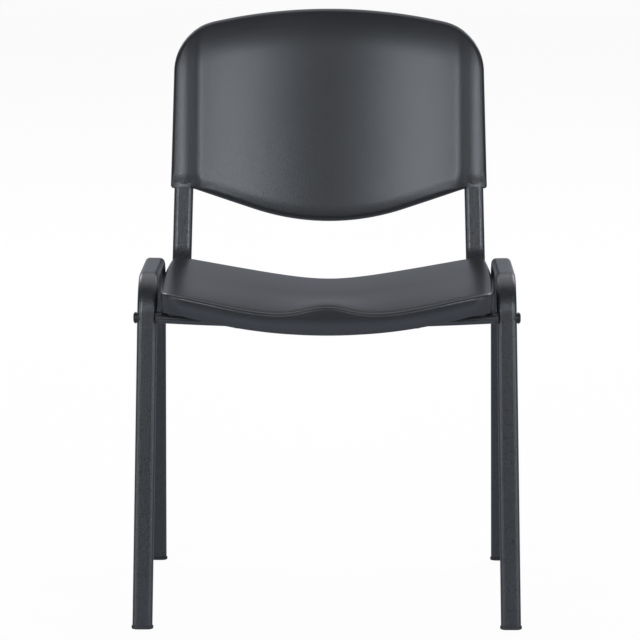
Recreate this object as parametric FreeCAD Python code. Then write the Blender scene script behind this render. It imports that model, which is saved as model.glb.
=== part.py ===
"""Stacking visitor chair: two leg hoops and a seat frame of flat-oval tube, a moulded seat and backrest.

X runs to the viewer's right, Y from the front of the chair to its back, Z up from the floor.
Lengths are millimetres and angles degrees. Y is counted from the front feet until the pieces are
finished, and then the whole chair is centred on the origin.
"""
import FreeCAD
import Part
import math
import os

V = FreeCAD.Vector
X_AXIS = V(1, 0, 0)
Y_AXIS = V(0, 1, 0)
Z_AXIS = V(0, 0, 1)
FAR = 2000.0
TOUCH = 1e-3
PARALLEL = 0.99

# Flat-oval steel tube, used for the whole frame
TUBE_WIDTH = 28.0
TUBE_DEPTH = 14.0
TUBE_WALL = 1.5

# Leg hoops
FOOT_SPACING_X = 514.0
FOOT_SPACING_Y = 430.0
LEG_SPLAY = 0.93
FRONT_LEG_LEAN = 7.5
REAR_LEG_LEAN = 15.0
HOOP_HEIGHT = 481.7
HOOP_TOP_SLOPE = 2.0
HOOP_BEND = 50.0

# Plastic feet
FOOT_FLANGE = 4.0
FOOT_RIM = 1.2
FOOT_EDGE = 1.2
FOOT_PLUG = 25.0
PLUG_CLEARANCE = 0.15

# Cross bars, bowed down towards the middle
BAR_BOW = 6.5
BAR_DROP = 51.3
FRAME_SLOPE = 1.2
SPACER_GAP = 3.0
SPACER_LAP = 2.0

# Bolts through the legs into the bar ends
BOLT_DIAMETER = 8.0
BOLT_HEAD_DIAMETER = 16.0
BOLT_HEAD_HEIGHT = 4.4
BOLT_HEAD_ROUND = 3.8
BOLT_SOCKET = 5.0
BOLT_SOCKET_DEPTH = 2.2
BOLT_CLEARANCE = 0.2
THREAD_CLEARANCE = 0.05
WASHER_DIAMETER = 13.4
WASHER_CREST = 0.8
INSERT_LENGTH = 18.0
SADDLE_CLEARANCE = 0.1

# Seat-back tubes: rail along the seat, bend, upright
RAIL_INSET = 17.2
RAIL_FRONT = 30.0
RAIL_CORNER = 410.0
RAIL_TOE = 1.3
UPRIGHT_LEAN = 14.0
UPRIGHT_TOE = 1.6
UPRIGHT_LENGTH = 313.0
UPRIGHT_BEND = 52.0
WELD_GAP = 0.05
WELD_BEAD = 5.0
WELD_LENGTH = 15.0
RAIL_PLUG_LENGTH = 18.0
RAIL_PLUG_FACE = 2.5

# Seat moulding
SEAT_OVERHANG = 1.0
SEAT_SIDE_BOW = 6.0
SEAT_FRONT = -20.0
SEAT_DEPTH = 418.0
SEAT_FRONT_CURVE = 26.0
SEAT_REAR_CURVE = 8.0
SEAT_CORNER = 38.0
SEAT_WALL = 3.6
SKIRT_WALL = 2.4
SEAT_EDGE = 4.0
SKIRT_CLEARANCE = 4.1
LIP_DROP = 25.1
LIP_INSET = 28.0
LIP_BLEND = 60.0

# Seat top: heights over the lip and widths of the saddle at the front and at the rear
FRONT_DIP_RISE = 31.5
FRONT_SIDE_RISE = 27.0
FRONT_DIP_START = 50.0
FRONT_DIP_SPAN = 215.0
POMMEL_RISE = 10.7
POMMEL_WIDTH = 40.0
REAR_RISE = 15.2
REAR_FLANK_SLOPE = 0.2
REAR_FLANK_ROUND = 12.0
SADDLE_BLEND_START = -30.0
SADDLE_BLEND_SPAN = 280.0
FRONT_ROLL_DROP = 1.2
FRONT_ROLL_SPAN = 20.0
SIDE_ROLL_DROP = 3.0
SIDE_ROLL_SPAN = 26.0
SEAT_COLUMNS = 24
SEAT_ROWS = 18
ROW_CROWDING = 1.5

# Seat underside
RIB_WALL = 2.4
RIB_DEPTH = 9.0
RIB_SPACING = 62.0
RIB_COUNT = 3
RIB_INSET = 44.0
PAD_LENGTH = 200.0
PAD_WIDTH = 10.0
BOSS_DIAMETER = 15.0
BOSS_SPACING = 250.0
BOSS_GAP = 0.3
TUBE_ROOM = 1.5
SEAT_SCREW_DIAMETER = 5.0
SEAT_SCREW_GRIP = 12.0
SCREW_HEAD_DIAMETER = 10.0
SCREW_HEAD_HEIGHT = 3.0
SCREW_CLEARANCE = 0.25

# Backrest moulding, heights measured along the uprights from the rail corner
BACK_OVERHANG = 16.8
BACK_SIDE_TAPER = 1.34
BAND_BOTTOM = 127.1
BACK_CREST = 86.2
BACK_TOP_RADIUS = 660.0
BACK_CORNER = 80.0
BACK_HANG = 46.3
BACK_LOW_RADIUS = 368.0
BACK_FLANK_ANGLE = 17.4
BAND_WIDTH = 33.8
BAND_FLAT = 7.0
BAND_FALL_RADIUS = 75.0
CROWN_RADIUS = 52.0
PANEL_RADIUS = 675.0
PANEL_WALL = 3.6
TOP_ROLL_DROP = 7.5
TOP_ROLL_SPAN = 60.0
BACK_FLANGE = 14.0
BACK_EDGE = 7.0
PANEL_COLUMNS = 8
BAND_COLUMNS = 16
BACK_ROWS = 24
SLEEVE_WALL = 3.2
SLEEVE_CLEARANCE = 0.3
SLEEVE_OVERRUN = 6.0
SLEEVE_EDGE = 3.0
BACK_SCREW_DIAMETER = 4.0
BACK_SCREW_LENGTH = 15.0
BACK_SCREW_HEAD = 8.0
BACK_SCREW_HEAD_HEIGHT = 2.6
BACK_SCREW_HEIGHT = 190.0

SIDES = {"left": -1, "right": 1}
ENDS = ("front", "rear")


def tan(degrees):
    return math.tan(math.radians(degrees))


def cos(degrees):
    return math.cos(math.radians(degrees))


def sin(degrees):
    return math.sin(math.radians(degrees))


def smooth_step(t):
    """Rises from 0 to 1 with level ends."""
    t = min(max(t, 0.0), 1.0)
    return 0.5 - 0.5 * math.cos(math.pi * t)


def line(a, b):
    return Part.LineSegment(a, b).toShape()


def arc(a, middle, b):
    return Part.Arc(a, middle, b).toShape()


def box(low, high):
    """Block between two corners."""
    size = high - low
    return Part.makeBox(size.x, size.y, size.z, low)


def rod(start, end, diameter):
    """Round bar between two points."""
    way = end - start
    return Part.makeCylinder(diameter / 2, way.Length, start, way)


def oval(width, depth):
    """Flat-oval outline round the origin, width along X and depth along Y."""
    flat = (width - depth) / 2
    r = depth / 2
    return Part.Wire([
        line(V(-flat, -r, 0), V(flat, -r, 0)),
        arc(V(flat, -r, 0), V(flat + r, 0, 0), V(flat, r, 0)),
        line(V(flat, r, 0), V(-flat, r, 0)),
        arc(V(-flat, r, 0), V(-flat - r, 0, 0), V(-flat, -r, 0)),
    ])


def rounded_path(points, radius):
    """Straight runs joined by tangent arcs of one radius."""
    edges = []
    start = points[0]
    for before, corner, after in zip(points, points[1:], points[2:]):
        inward = (before - corner).normalize()
        onward = (after - corner).normalize()
        half = inward.getAngle(onward) / 2
        reach = radius / math.tan(half)
        inner = (inward + onward).normalize() * (radius / math.sin(half) - radius)
        edges.append(line(start, corner + inward * reach))
        edges.append(arc(corner + inward * reach, corner + inner, corner + onward * reach))
        start = corner + onward * reach
    edges.append(line(start, points[-1]))
    return Part.Wire(edges)


def oval_rod(points, bend, width, depth):
    """Solid flat-oval bar along a rounded path in the YZ plane, its width along X."""
    profile = oval(width, depth)
    turn = FreeCAD.Rotation(Z_AXIS, points[1] - points[0])
    profile.Placement = FreeCAD.Placement(points[0], turn)
    return rounded_path(points, bend).makePipeShell([profile], True, False)


def oval_prism(start, way, width, depth):
    """Straight flat-oval bar from a point, its width along X."""
    turn = FreeCAD.Rotation(Z_AXIS, way)
    face = Part.Face(oval(width, depth))
    face.Placement = FreeCAD.Placement(start, turn)
    return face.extrude(way)


def runs_along(edge, axis):
    """True for an edge that starts parallel to an axis."""
    return abs(edge.tangentAt(edge.FirstParameter).dot(axis)) > PARALLEL


def above(height):
    """Everything over a level plane."""
    return box(V(-FAR, -FAR, height), V(FAR, FAR, FAR))


def below(height):
    """Everything under a level plane."""
    return box(V(-FAR, -FAR, -FAR), V(FAR, FAR, height))


INNER_WIDTH = TUBE_WIDTH - 2 * TUBE_WALL
INNER_DEPTH = TUBE_DEPTH - 2 * TUBE_WALL
PLUG_WIDTH = INNER_WIDTH - 2 * PLUG_CLEARANCE
PLUG_DEPTH = INNER_DEPTH - 2 * PLUG_CLEARANCE
TUBE_FLAT = TUBE_WIDTH - TUBE_DEPTH
BAR_END_HEIGHT = HOOP_HEIGHT - BAR_DROP
LEG_GAP = FOOT_SPACING_X - 2 * BAR_END_HEIGHT * tan(LEG_SPLAY) - TUBE_WIDTH / cos(LEG_SPLAY)
BAR_LENGTH = LEG_GAP - 2 * SPACER_GAP
BAR_HALF = BAR_LENGTH / 2
SEAT_WIDTH = BAR_LENGTH + 2 * SEAT_OVERHANG
RAIL_X = SEAT_WIDTH / 2 - RAIL_INSET
SKIRT_HEIGHT = BAR_END_HEIGHT + TUBE_DEPTH / 2 + SKIRT_CLEARANCE
LIP_HEIGHT = SKIRT_HEIGHT - LIP_DROP
LIP_HALF_SPAN = SEAT_WIDTH / 2 - LIP_INSET
RIB_HALF_SPAN = SEAT_WIDTH / 2 - RIB_INSET
BACK_WIDTH = 2 * (RAIL_X + BACK_OVERHANG)
BACK_TOP = UPRIGHT_LENGTH + BACK_CREST
BACK_LOWEST = BAND_BOTTOM - BACK_HANG
BAND_FRONT = -(TUBE_DEPTH / 2 + SLEEVE_CLEARANCE + SLEEVE_WALL)
SOCKET_TOP = UPRIGHT_LENGTH + SLEEVE_OVERRUN
CROWN = BACK_WIDTH / 2 - BAND_WIDTH


# Leg hoops

def leg_way(end):
    """Direction of a leg in the hoop's own plane, upwards."""
    lean = FRONT_LEG_LEAN if end == "front" else -REAR_LEG_LEAN
    return V(0, tan(lean), 1)


def foot_point(end):
    return V(0, 0, 0) if end == "front" else V(0, FOOT_SPACING_Y, 0)


def hoop_points():
    """Centre line of a hoop in its own plane, run on below the floor for trimming."""
    front_corner = foot_point("front") + leg_way("front") * HOOP_HEIGHT
    top_run = V(0, 1, -tan(HOOP_TOP_SLOPE))
    rear_way = leg_way("rear")
    # The top run meets the rear leg where both have the same height
    gap = FOOT_SPACING_Y - front_corner.y
    run = (gap + HOOP_HEIGHT * rear_way.y) / (1 - rear_way.y * top_run.z)
    rear_corner = front_corner + top_run * run
    below_floor = -2 * TUBE_WIDTH
    return [
        leg_way("front") * below_floor,
        front_corner,
        rear_corner,
        foot_point("rear") + rear_way * below_floor,
    ]


def to_hoop_side(shape, side):
    """Tilts a piece made in the hoop's plane by the splay and sets it at its side."""
    shape = shape.copy()
    shape.rotate(V(0, 0, 0), Y_AXIS, -side * LEG_SPLAY)
    shape.translate(X_AXIS * (side * FOOT_SPACING_X / 2))
    return shape


def leg_solid(side, room=0.0):
    """Outer form of a hoop, grown by some room."""
    points = hoop_points()
    return to_hoop_side(oval_rod(points, HOOP_BEND, TUBE_WIDTH + 2 * room, TUBE_DEPTH + 2 * room), side)


def leg_centre(side, end, height):
    """Point on a leg's centre line at a height over the floor."""
    x = side * (FOOT_SPACING_X / 2 - height * tan(LEG_SPLAY))
    y = foot_point(end).y + leg_way(end).y * height / cos(LEG_SPLAY)
    return V(x, y, height)


def leg_hoop(side):
    points = hoop_points()
    bore = to_hoop_side(oval_rod(points, HOOP_BEND, INNER_WIDTH, INNER_DEPTH), side)
    tube = leg_solid(side).cut(bore).common(above(FOOT_FLANGE))
    for end in ENDS:
        centre = bolt_point(side, end)
        reach = X_AXIS * TUBE_WIDTH
        tube = tube.cut(rod(centre - reach, centre + reach, BOLT_DIAMETER + 2 * BOLT_CLEARANCE))
    return tube


def foot(side, end):
    """Glide: a rimmed flange under the tube's end and a plug inside it."""
    way = leg_way(end)
    low = foot_point(end) - way * TUBE_WIDTH
    reach = way * (2 * TUBE_WIDTH)
    flange = oval_prism(low, reach, TUBE_WIDTH + 2 * FOOT_RIM, TUBE_DEPTH + 2 * FOOT_RIM)
    flange = to_hoop_side(flange, side).common(above(0)).common(below(FOOT_FLANGE))
    floor_edges = [e for e in flange.Edges if abs(e.BoundBox.ZMax) < TOUCH]
    flange = flange.makeFillet(FOOT_EDGE, floor_edges)
    plug = oval_prism(low, way * (TUBE_WIDTH + FOOT_PLUG), PLUG_WIDTH, PLUG_DEPTH)
    plug = to_hoop_side(plug, side).common(above(FOOT_FLANGE / 2))
    return flange.fuse(plug).removeSplitter()


# Cross bars

def bar_end_height(end):
    """Height of a bar's centre line at its ends: the rear bar is lower by the frame's slope."""
    front = BAR_END_HEIGHT
    if end == "front":
        return front
    lean_front = leg_way("front").y / cos(LEG_SPLAY)
    lean_rear = leg_way("rear").y / cos(LEG_SPLAY)
    slope = tan(FRAME_SLOPE)
    # The rear bar lies on the rear leg and on the sloping frame at once
    span = FOOT_SPACING_Y + (lean_rear - lean_front) * front
    return front - slope * span / (1 + slope * lean_rear)


def bar_y(end):
    return leg_centre(1, end, bar_end_height(end)).y


def bar_radius():
    return (BAR_HALF ** 2 + BAR_BOW ** 2) / (2 * BAR_BOW)


def bar_centre(end, x):
    """Point on a bar's centre line."""
    radius = bar_radius()
    low = bar_end_height(end) - BAR_BOW
    return V(x, bar_y(end), low + radius - math.sqrt(radius ** 2 - x ** 2))


def bar_rod(end, width, depth):
    """Bowed flat-oval bar, its width along Y, run on past the ends for trimming."""
    hub = bar_centre(end, 0) + Z_AXIS * bar_radius()
    sweep = math.degrees(math.asin((BAR_HALF + TUBE_WIDTH) / bar_radius()))
    face = Part.Face(oval(width, depth))
    turn = FreeCAD.Rotation(Y_AXIS, Z_AXIS, X_AXIS, "ZXY")
    face.Placement = FreeCAD.Placement(bar_centre(end, 0), turn)
    face.rotate(hub, Y_AXIS, -sweep)
    return face.revolve(hub, Y_AXIS, 2 * sweep)


def between_x(low, high):
    """Everything between two upright planes across X."""
    return box(V(low, -FAR, -FAR), V(high, FAR, FAR))


def cross_bar(end):
    bar = bar_rod(end, TUBE_WIDTH, TUBE_DEPTH).cut(bar_rod(end, INNER_WIDTH, INNER_DEPTH))
    bar = bar.common(between_x(-BAR_HALF, BAR_HALF))
    for side in SIDES.values():
        centre = bar_centre(end, side * BOSS_SPACING / 2)
        reach = Z_AXIS * TUBE_DEPTH
        bar = bar.cut(rod(centre - reach, centre + reach, SEAT_SCREW_DIAMETER + 2 * SCREW_CLEARANCE))
    return bar


def bolt_point(side, end):
    """Where a bolt's axis crosses the leg's centre line: in line with the bar's end."""
    height = bar_centre(end, BAR_HALF - INSERT_LENGTH / 2).z
    return leg_centre(side, end, height)


def thread_insert(side, end):
    near = side * (BAR_HALF - INSERT_LENGTH)
    far = side * BAR_HALF
    block = bar_rod(end, PLUG_WIDTH, PLUG_DEPTH).common(between_x(min(near, far), max(near, far)))
    axis = bolt_point(side, end)
    reach = X_AXIS * (BAR_LENGTH / 2)
    return block.cut(rod(axis - reach, axis + reach, BOLT_DIAMETER + 2 * THREAD_CLEARANCE))


def spacer(side, end):
    """Plastic saddle that fills the gap between a bar's end and the leg's rounded side."""
    axis = bolt_point(side, end)
    bar_end = side * BAR_HALF
    lap = axis.x - side * (TUBE_WIDTH / 2 - SPACER_LAP)
    body = bar_rod(end, TUBE_WIDTH, TUBE_DEPTH).common(between_x(min(bar_end, lap), max(bar_end, lap)))
    body = body.cut(leg_solid(side, SADDLE_CLEARANCE))
    body = max(body.Solids, key=lambda piece: -abs(piece.CenterOfMass.x))
    reach = X_AXIS * TUBE_WIDTH
    return body.cut(rod(axis - reach, axis + reach, BOLT_DIAMETER + 2 * BOLT_CLEARANCE))


def head_seat(side, end):
    """X of the plane under a bolt's head, a washer's crest outside the leg."""
    axis = bolt_point(side, end)
    return axis + X_AXIS * (side * (TUBE_WIDTH / 2 / cos(LEG_SPLAY) + WASHER_CREST))


def saddle_washer(side, end):
    axis = bolt_point(side, end)
    body = rod(axis, head_seat(side, end), WASHER_DIAMETER).cut(leg_solid(side, SADDLE_CLEARANCE))
    body = max(body.Solids, key=lambda piece: abs(piece.CenterOfMass.x))
    return body.cut(rod(axis, axis + X_AXIS * (side * TUBE_WIDTH), BOLT_DIAMETER + 2 * BOLT_CLEARANCE))


def frame_bolt(side, end):
    """Button-head bolt: a domed head with a key socket, and a shank into the insert."""
    seat = head_seat(side, end)
    crown = Z_AXIS * BOLT_HEAD_HEIGHT
    head = rod(V(0, 0, 0), crown, BOLT_HEAD_DIAMETER)
    rim = [e for e in head.Edges if e.BoundBox.ZMin > BOLT_HEAD_HEIGHT - TOUCH]
    head = head.makeFillet(BOLT_HEAD_ROUND, rim)
    corner = BOLT_SOCKET / 2 / cos(30)
    key = [V(corner * cos(60 * k), corner * sin(60 * k), BOLT_HEAD_HEIGHT - BOLT_SOCKET_DEPTH) for k in range(7)]
    head = head.cut(Part.Face(Part.makePolygon(key)).extrude(crown))
    head.Placement = FreeCAD.Placement(seat, FreeCAD.Rotation(Z_AXIS, X_AXIS * side))
    tip = V(side * (BAR_HALF - INSERT_LENGTH), seat.y, seat.z)
    return head.fuse(rod(seat, tip, BOLT_DIAMETER)).removeSplitter()


# Seat-back tubes

def rail_x(y):
    """Distance of a rail's centre line from the middle: the rails close in towards the front."""
    return RAIL_X - (RAIL_CORNER - y) * tan(RAIL_TOE)


def rail_rest(end):
    """Height of a rail's centre line where it lies on a bar's top."""
    flat = TUBE_FLAT / 2
    bar = bar_centre(end, rail_x(bar_y(end)) + flat)
    return bar.z + TUBE_DEPTH + WELD_GAP - flat * sin(UPRIGHT_TOE) + flat * tan(FRAME_SLOPE)


def rail_height(y):
    """Height of a rail's centre line, which lies on both bars."""
    front = bar_y("front")
    slope = (rail_rest("rear") - rail_rest("front")) / (bar_y("rear") - front)
    return rail_rest("front") + slope * (y - front)


def rail_point(y):
    return V(0, y, rail_height(y))


def upright_way():
    return V(0, sin(UPRIGHT_LEAN), cos(UPRIGHT_LEAN))


def tube_points():
    """Centre line of a seat-back tube in its own plane."""
    corner = rail_point(RAIL_CORNER)
    return [rail_point(RAIL_FRONT), corner, corner + upright_way() * UPRIGHT_LENGTH]


def to_rail_side(shape, side):
    """Tilts and turns a piece made in the tube's plane by its toe-in and sets it at its side."""
    shape = shape.copy()
    shape.rotate(rail_point(bar_y("front")), Y_AXIS, -side * UPRIGHT_TOE)
    shape.rotate(rail_point(RAIL_CORNER), Z_AXIS, -side * RAIL_TOE)
    shape.translate(X_AXIS * (side * RAIL_X))
    return shape


def seat_back_solid(side, room=0.0):
    """Outer form of a seat-back tube, grown by some room."""
    rod_ = oval_rod(tube_points(), UPRIGHT_BEND, TUBE_WIDTH + 2 * room, TUBE_DEPTH + 2 * room)
    return to_rail_side(rod_, side)


def back_screw_axis(side):
    """Middle of an upright at the height of its screw, and the way towards the back."""
    start = rail_point(RAIL_CORNER) + upright_way() * BACK_SCREW_HEIGHT
    rearward = V(0, cos(UPRIGHT_LEAN), -sin(UPRIGHT_LEAN))
    mark = to_rail_side(line(start, start + rearward), side)
    return mark.firstVertex().Point, mark.tangentAt(mark.FirstParameter)


def seat_back_tube(side):
    bore = to_rail_side(oval_rod(tube_points(), UPRIGHT_BEND, INNER_WIDTH, INNER_DEPTH), side)
    tube = seat_back_solid(side).cut(bore)
    middle, rearward = back_screw_axis(side)
    hole = BACK_SCREW_DIAMETER + 2 * SCREW_CLEARANCE
    return tube.cut(rod(middle, middle + rearward * TUBE_DEPTH, hole))


def rail_plug(side):
    """Plug in the open front end of a rail, with a thin face as large as the tube."""
    start, corner = tube_points()[:2]
    way = (corner - start).normalize()
    face = oval_prism(start, way * -RAIL_PLUG_FACE, TUBE_WIDTH, TUBE_DEPTH)
    stem = oval_prism(start - way * (RAIL_PLUG_FACE / 2), way * RAIL_PLUG_LENGTH, PLUG_WIDTH, PLUG_DEPTH)
    rim = [e for e in face.Edges if e.CenterOfMass.y < start.y - RAIL_PLUG_FACE + TOUCH]
    face = face.makeFillet(RAIL_PLUG_FACE / 2, rim)
    return to_rail_side(face.fuse(stem).removeSplitter(), side)


def rail_weld(side, end, edge):
    """Bead in the groove between a rail's rounded edge and the bar under it."""
    y = bar_y(end)
    x = rail_x(y) + edge * (TUBE_FLAT / 2 + WELD_BEAD)
    start = V(side * x, y - WELD_LENGTH / 2, rail_height(y) - TUBE_DEPTH / 2)
    bead = rod(start, start + Y_AXIS * WELD_LENGTH, WELD_BEAD)
    bead = bead.cut(seat_back_solid(side, WELD_GAP))
    return bead.cut(bar_rod(end, TUBE_WIDTH + 2 * WELD_GAP, TUBE_DEPTH + 2 * WELD_GAP))


# Seat

def seat_front_y(x):
    """Front edge in plan, curved back towards the corners."""
    return SEAT_FRONT + SEAT_FRONT_CURVE * (2 * x / SEAT_WIDTH) ** 2


def seat_height(x, y):
    """Top of the seat: a saddle with two thigh hollows and a pommel at the front, a dish behind."""
    x = abs(x)
    front = LIP_HEIGHT + FRONT_DIP_RISE + FRONT_SIDE_RISE * smooth_step((x - FRONT_DIP_START) / FRONT_DIP_SPAN)
    front += POMMEL_RISE * math.exp(-(x / POMMEL_WIDTH) ** 2)
    rear = LIP_HEIGHT + REAR_RISE + math.hypot(REAR_FLANK_ROUND, REAR_FLANK_SLOPE * x) - REAR_FLANK_ROUND
    blend = smooth_step((y - SADDLE_BLEND_START) / SADDLE_BLEND_SPAN)
    roll = max(0.0, 1 - (y - seat_front_y(x)) / FRONT_ROLL_SPAN)
    side = max(0.0, 1 - (SEAT_WIDTH / 2 - x) / SIDE_ROLL_SPAN)
    return front + (rear - front) * blend - FRONT_ROLL_DROP * roll ** 2 - SIDE_ROLL_DROP * side ** 2


def over_seat_top(drop):
    """Everything over the seat's top surface, lowered by a drop."""
    margin = SEAT_CORNER
    half = SEAT_WIDTH / 2 + margin
    start = SEAT_FRONT - margin
    length = SEAT_DEPTH + 2 * margin
    grid = []
    for i in range(SEAT_COLUMNS + 1):
        x = half * (2 * i / SEAT_COLUMNS - 1)
        column = []
        for j in range(SEAT_ROWS + 1):
            # Rows lie closer together at the front, where the edge rolls over
            y = start + length * (j / SEAT_ROWS) ** ROW_CROWDING
            column.append(V(x, y, seat_height(x, y) - drop))
        grid.append(column)
    surface = Part.BSplineSurface()
    surface.interpolate(grid)
    return surface.toShape().extrude(Z_AXIS * SEAT_WIDTH)


def seat_plan(inset):
    """Upright block on the seat's outline in plan, with rounded corners."""
    half = SEAT_WIDTH / 2 - inset
    waist = half - SEAT_SIDE_BOW
    front = SEAT_FRONT + inset
    rear = SEAT_FRONT + SEAT_DEPTH - inset
    front_side = front + SEAT_FRONT_CURVE
    rear_side = rear - SEAT_REAR_CURVE
    middle = (front_side + rear_side) / 2
    base = LIP_HEIGHT - SEAT_CORNER
    top = LIP_HEIGHT + FRONT_DIP_RISE + FRONT_SIDE_RISE + POMMEL_RISE + SEAT_CORNER
    outline = Part.Wire([
        arc(V(-waist, front_side, base), V(0, front, base), V(waist, front_side, base)),
        arc(V(waist, front_side, base), V(half, middle, base), V(waist, rear_side, base)),
        arc(V(waist, rear_side, base), V(0, rear, base), V(-waist, rear_side, base)),
        arc(V(-waist, rear_side, base), V(-half, middle, base), V(-waist, front_side, base)),
    ])
    block = Part.Face(outline).extrude(Z_AXIS * (top - base))
    upright = [e for e in block.Edges if runs_along(e, Z_AXIS)]
    return block.makeFillet(SEAT_CORNER - inset, upright)


def over_lower_edge():
    """Everything over the skirt's lower edge, which hangs lowest at the middle of the front."""
    half = SEAT_WIDTH
    near = SEAT_FRONT - SEAT_CORNER
    start = V(-half, near, SKIRT_HEIGHT)
    left = V(-LIP_HALF_SPAN, near, SKIRT_HEIGHT)
    right = V(LIP_HALF_SPAN, near, SKIRT_HEIGHT)
    end = V(half, near, SKIRT_HEIGHT)
    lift = Z_AXIS * SKIRT_HEIGHT
    outline = Part.Wire([
        line(start, left),
        arc(left, V(0, near, LIP_HEIGHT), right),
        line(right, end),
        line(end, end + lift),
        line(end + lift, start + lift),
        line(start + lift, start),
    ])
    block = Part.Face(outline).extrude(Y_AXIS * (SEAT_DEPTH + 2 * SEAT_CORNER))
    bends = [e for e in block.Edges if runs_along(e, Y_AXIS)
             and abs(abs(e.CenterOfMass.x) - LIP_HALF_SPAN) < TOUCH]
    return block.makeFillet(LIP_BLEND, bends)


def seat_block(inset, drop, edge):
    """Seat form with its top edge rounded, closed underneath."""
    block = seat_plan(inset).cut(over_seat_top(drop))
    top = max(block.Faces, key=lambda face: face.CenterOfMass.z)
    return block.makeFillet(edge, top.Edges)


def boss_point(side, end):
    """Foot of a screw boss, just over its bar's top."""
    return bar_centre(end, side * BOSS_SPACING / 2) + Z_AXIS * (TUBE_DEPTH / 2 + BOSS_GAP)


def seat_ribs():
    """Ribs across the underside, pads over the rails and screw bosses over the bars."""
    pieces = []
    middle = (bar_y("front") + bar_y("rear")) / 2
    for k in range(RIB_COUNT):
        y = middle + (k - (RIB_COUNT - 1) / 2) * RIB_SPACING
        foot_line = [V(x, y, seat_height(x, y) - SEAT_WALL - RIB_DEPTH) for x in (-RIB_HALF_SPAN, 0, RIB_HALF_SPAN)]
        lift = Z_AXIS * SKIRT_HEIGHT
        wall = Part.Face(Part.Wire([
            arc(*foot_line),
            line(foot_line[2], foot_line[2] + lift),
            line(foot_line[2] + lift, foot_line[0] + lift),
            line(foot_line[0] + lift, foot_line[0]),
        ]))
        wall.translate(Y_AXIS * (-RIB_WALL / 2))
        pieces.append(wall.extrude(Y_AXIS * RIB_WALL))
    for side in SIDES.values():
        start = rail_point(middle - PAD_LENGTH / 2)
        end = rail_point(middle + PAD_LENGTH / 2)
        way = end - start
        pad = Part.makeBox(PAD_WIDTH, way.Length, TUBE_WIDTH * 2)
        pad.translate(V(-PAD_WIDTH / 2, 0, TUBE_DEPTH / 2 + WELD_GAP))
        pad.Placement = FreeCAD.Placement(start, FreeCAD.Rotation(Y_AXIS, way)) * pad.Placement
        pieces.append(to_rail_side(pad, side))
        for end_name in ENDS:
            foot_ = boss_point(side, end_name)
            pieces.append(rod(foot_, foot_ + Z_AXIS * SKIRT_HEIGHT, BOSS_DIAMETER))
    return pieces


def seat_shell():
    block = seat_block(0, 0, SEAT_EDGE).common(over_lower_edge())
    hollow = seat_block(SKIRT_WALL, SEAT_WALL, SEAT_EDGE - SKIRT_WALL)
    hollow = hollow.cut(Part.makeCompound(seat_ribs()))
    shell = block.cut(hollow)
    behind = box(V(-FAR, bar_y("rear"), -FAR), V(FAR, FAR, FAR))
    for side in SIDES.values():
        # The tubes pass out under the rear corners
        shell = shell.cut(seat_back_solid(side, TUBE_ROOM).common(behind))
        for end in ENDS:
            foot_ = boss_point(side, end)
            shell = shell.cut(rod(foot_, foot_ + Z_AXIS * SEAT_SCREW_GRIP, SEAT_SCREW_DIAMETER))
    return shell


def seat_screw(side, end):
    """Pan-head screw up through a bar into the seat's boss."""
    under = bar_centre(end, side * BOSS_SPACING / 2) - Z_AXIS * (TUBE_DEPTH / 2 + BOSS_GAP)
    tip = boss_point(side, end) + Z_AXIS * SEAT_SCREW_GRIP
    head = rod(under - Z_AXIS * SCREW_HEAD_HEIGHT, under, SCREW_HEAD_DIAMETER)
    rim = [e for e in head.Edges if e.BoundBox.ZMax < under.z - SCREW_HEAD_HEIGHT / 2]
    head = head.makeFillet(SCREW_HEAD_HEIGHT / 2, rim)
    return head.fuse(rod(under, tip, SEAT_SCREW_DIAMETER - 2 * THREAD_CLEARANCE)).removeSplitter()


# Backrest, made upright over the rail corner with Z along the uprights and Y to the back

def to_back(shape):
    shape = shape.copy()
    turn = FreeCAD.Rotation(X_AXIS, -UPRIGHT_LEAN)
    shape.Placement = FreeCAD.Placement(rail_point(RAIL_CORNER), turn) * shape.Placement
    return shape


def back_side_x(height):
    """Half width of the backrest at a height, tapering upwards."""
    return BACK_WIDTH / 2 - (height - BAND_BOTTOM) * tan(BACK_SIDE_TAPER)


def shoulder_hub():
    """Centre of a top corner's arc, one radius inside the tapering side and inside the top arc."""
    top_hub = BACK_TOP - BACK_TOP_RADIUS
    slope = tan(BACK_SIDE_TAPER)
    reach = back_side_x(top_hub) - BACK_CORNER / cos(BACK_SIDE_TAPER)
    square = (1 + slope ** 2) * (BACK_TOP_RADIUS - BACK_CORNER) ** 2 - reach ** 2
    rise = (reach * slope + math.sqrt(square)) / (1 + slope ** 2)
    return V(reach - slope * rise, 0, top_hub + rise)


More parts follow.
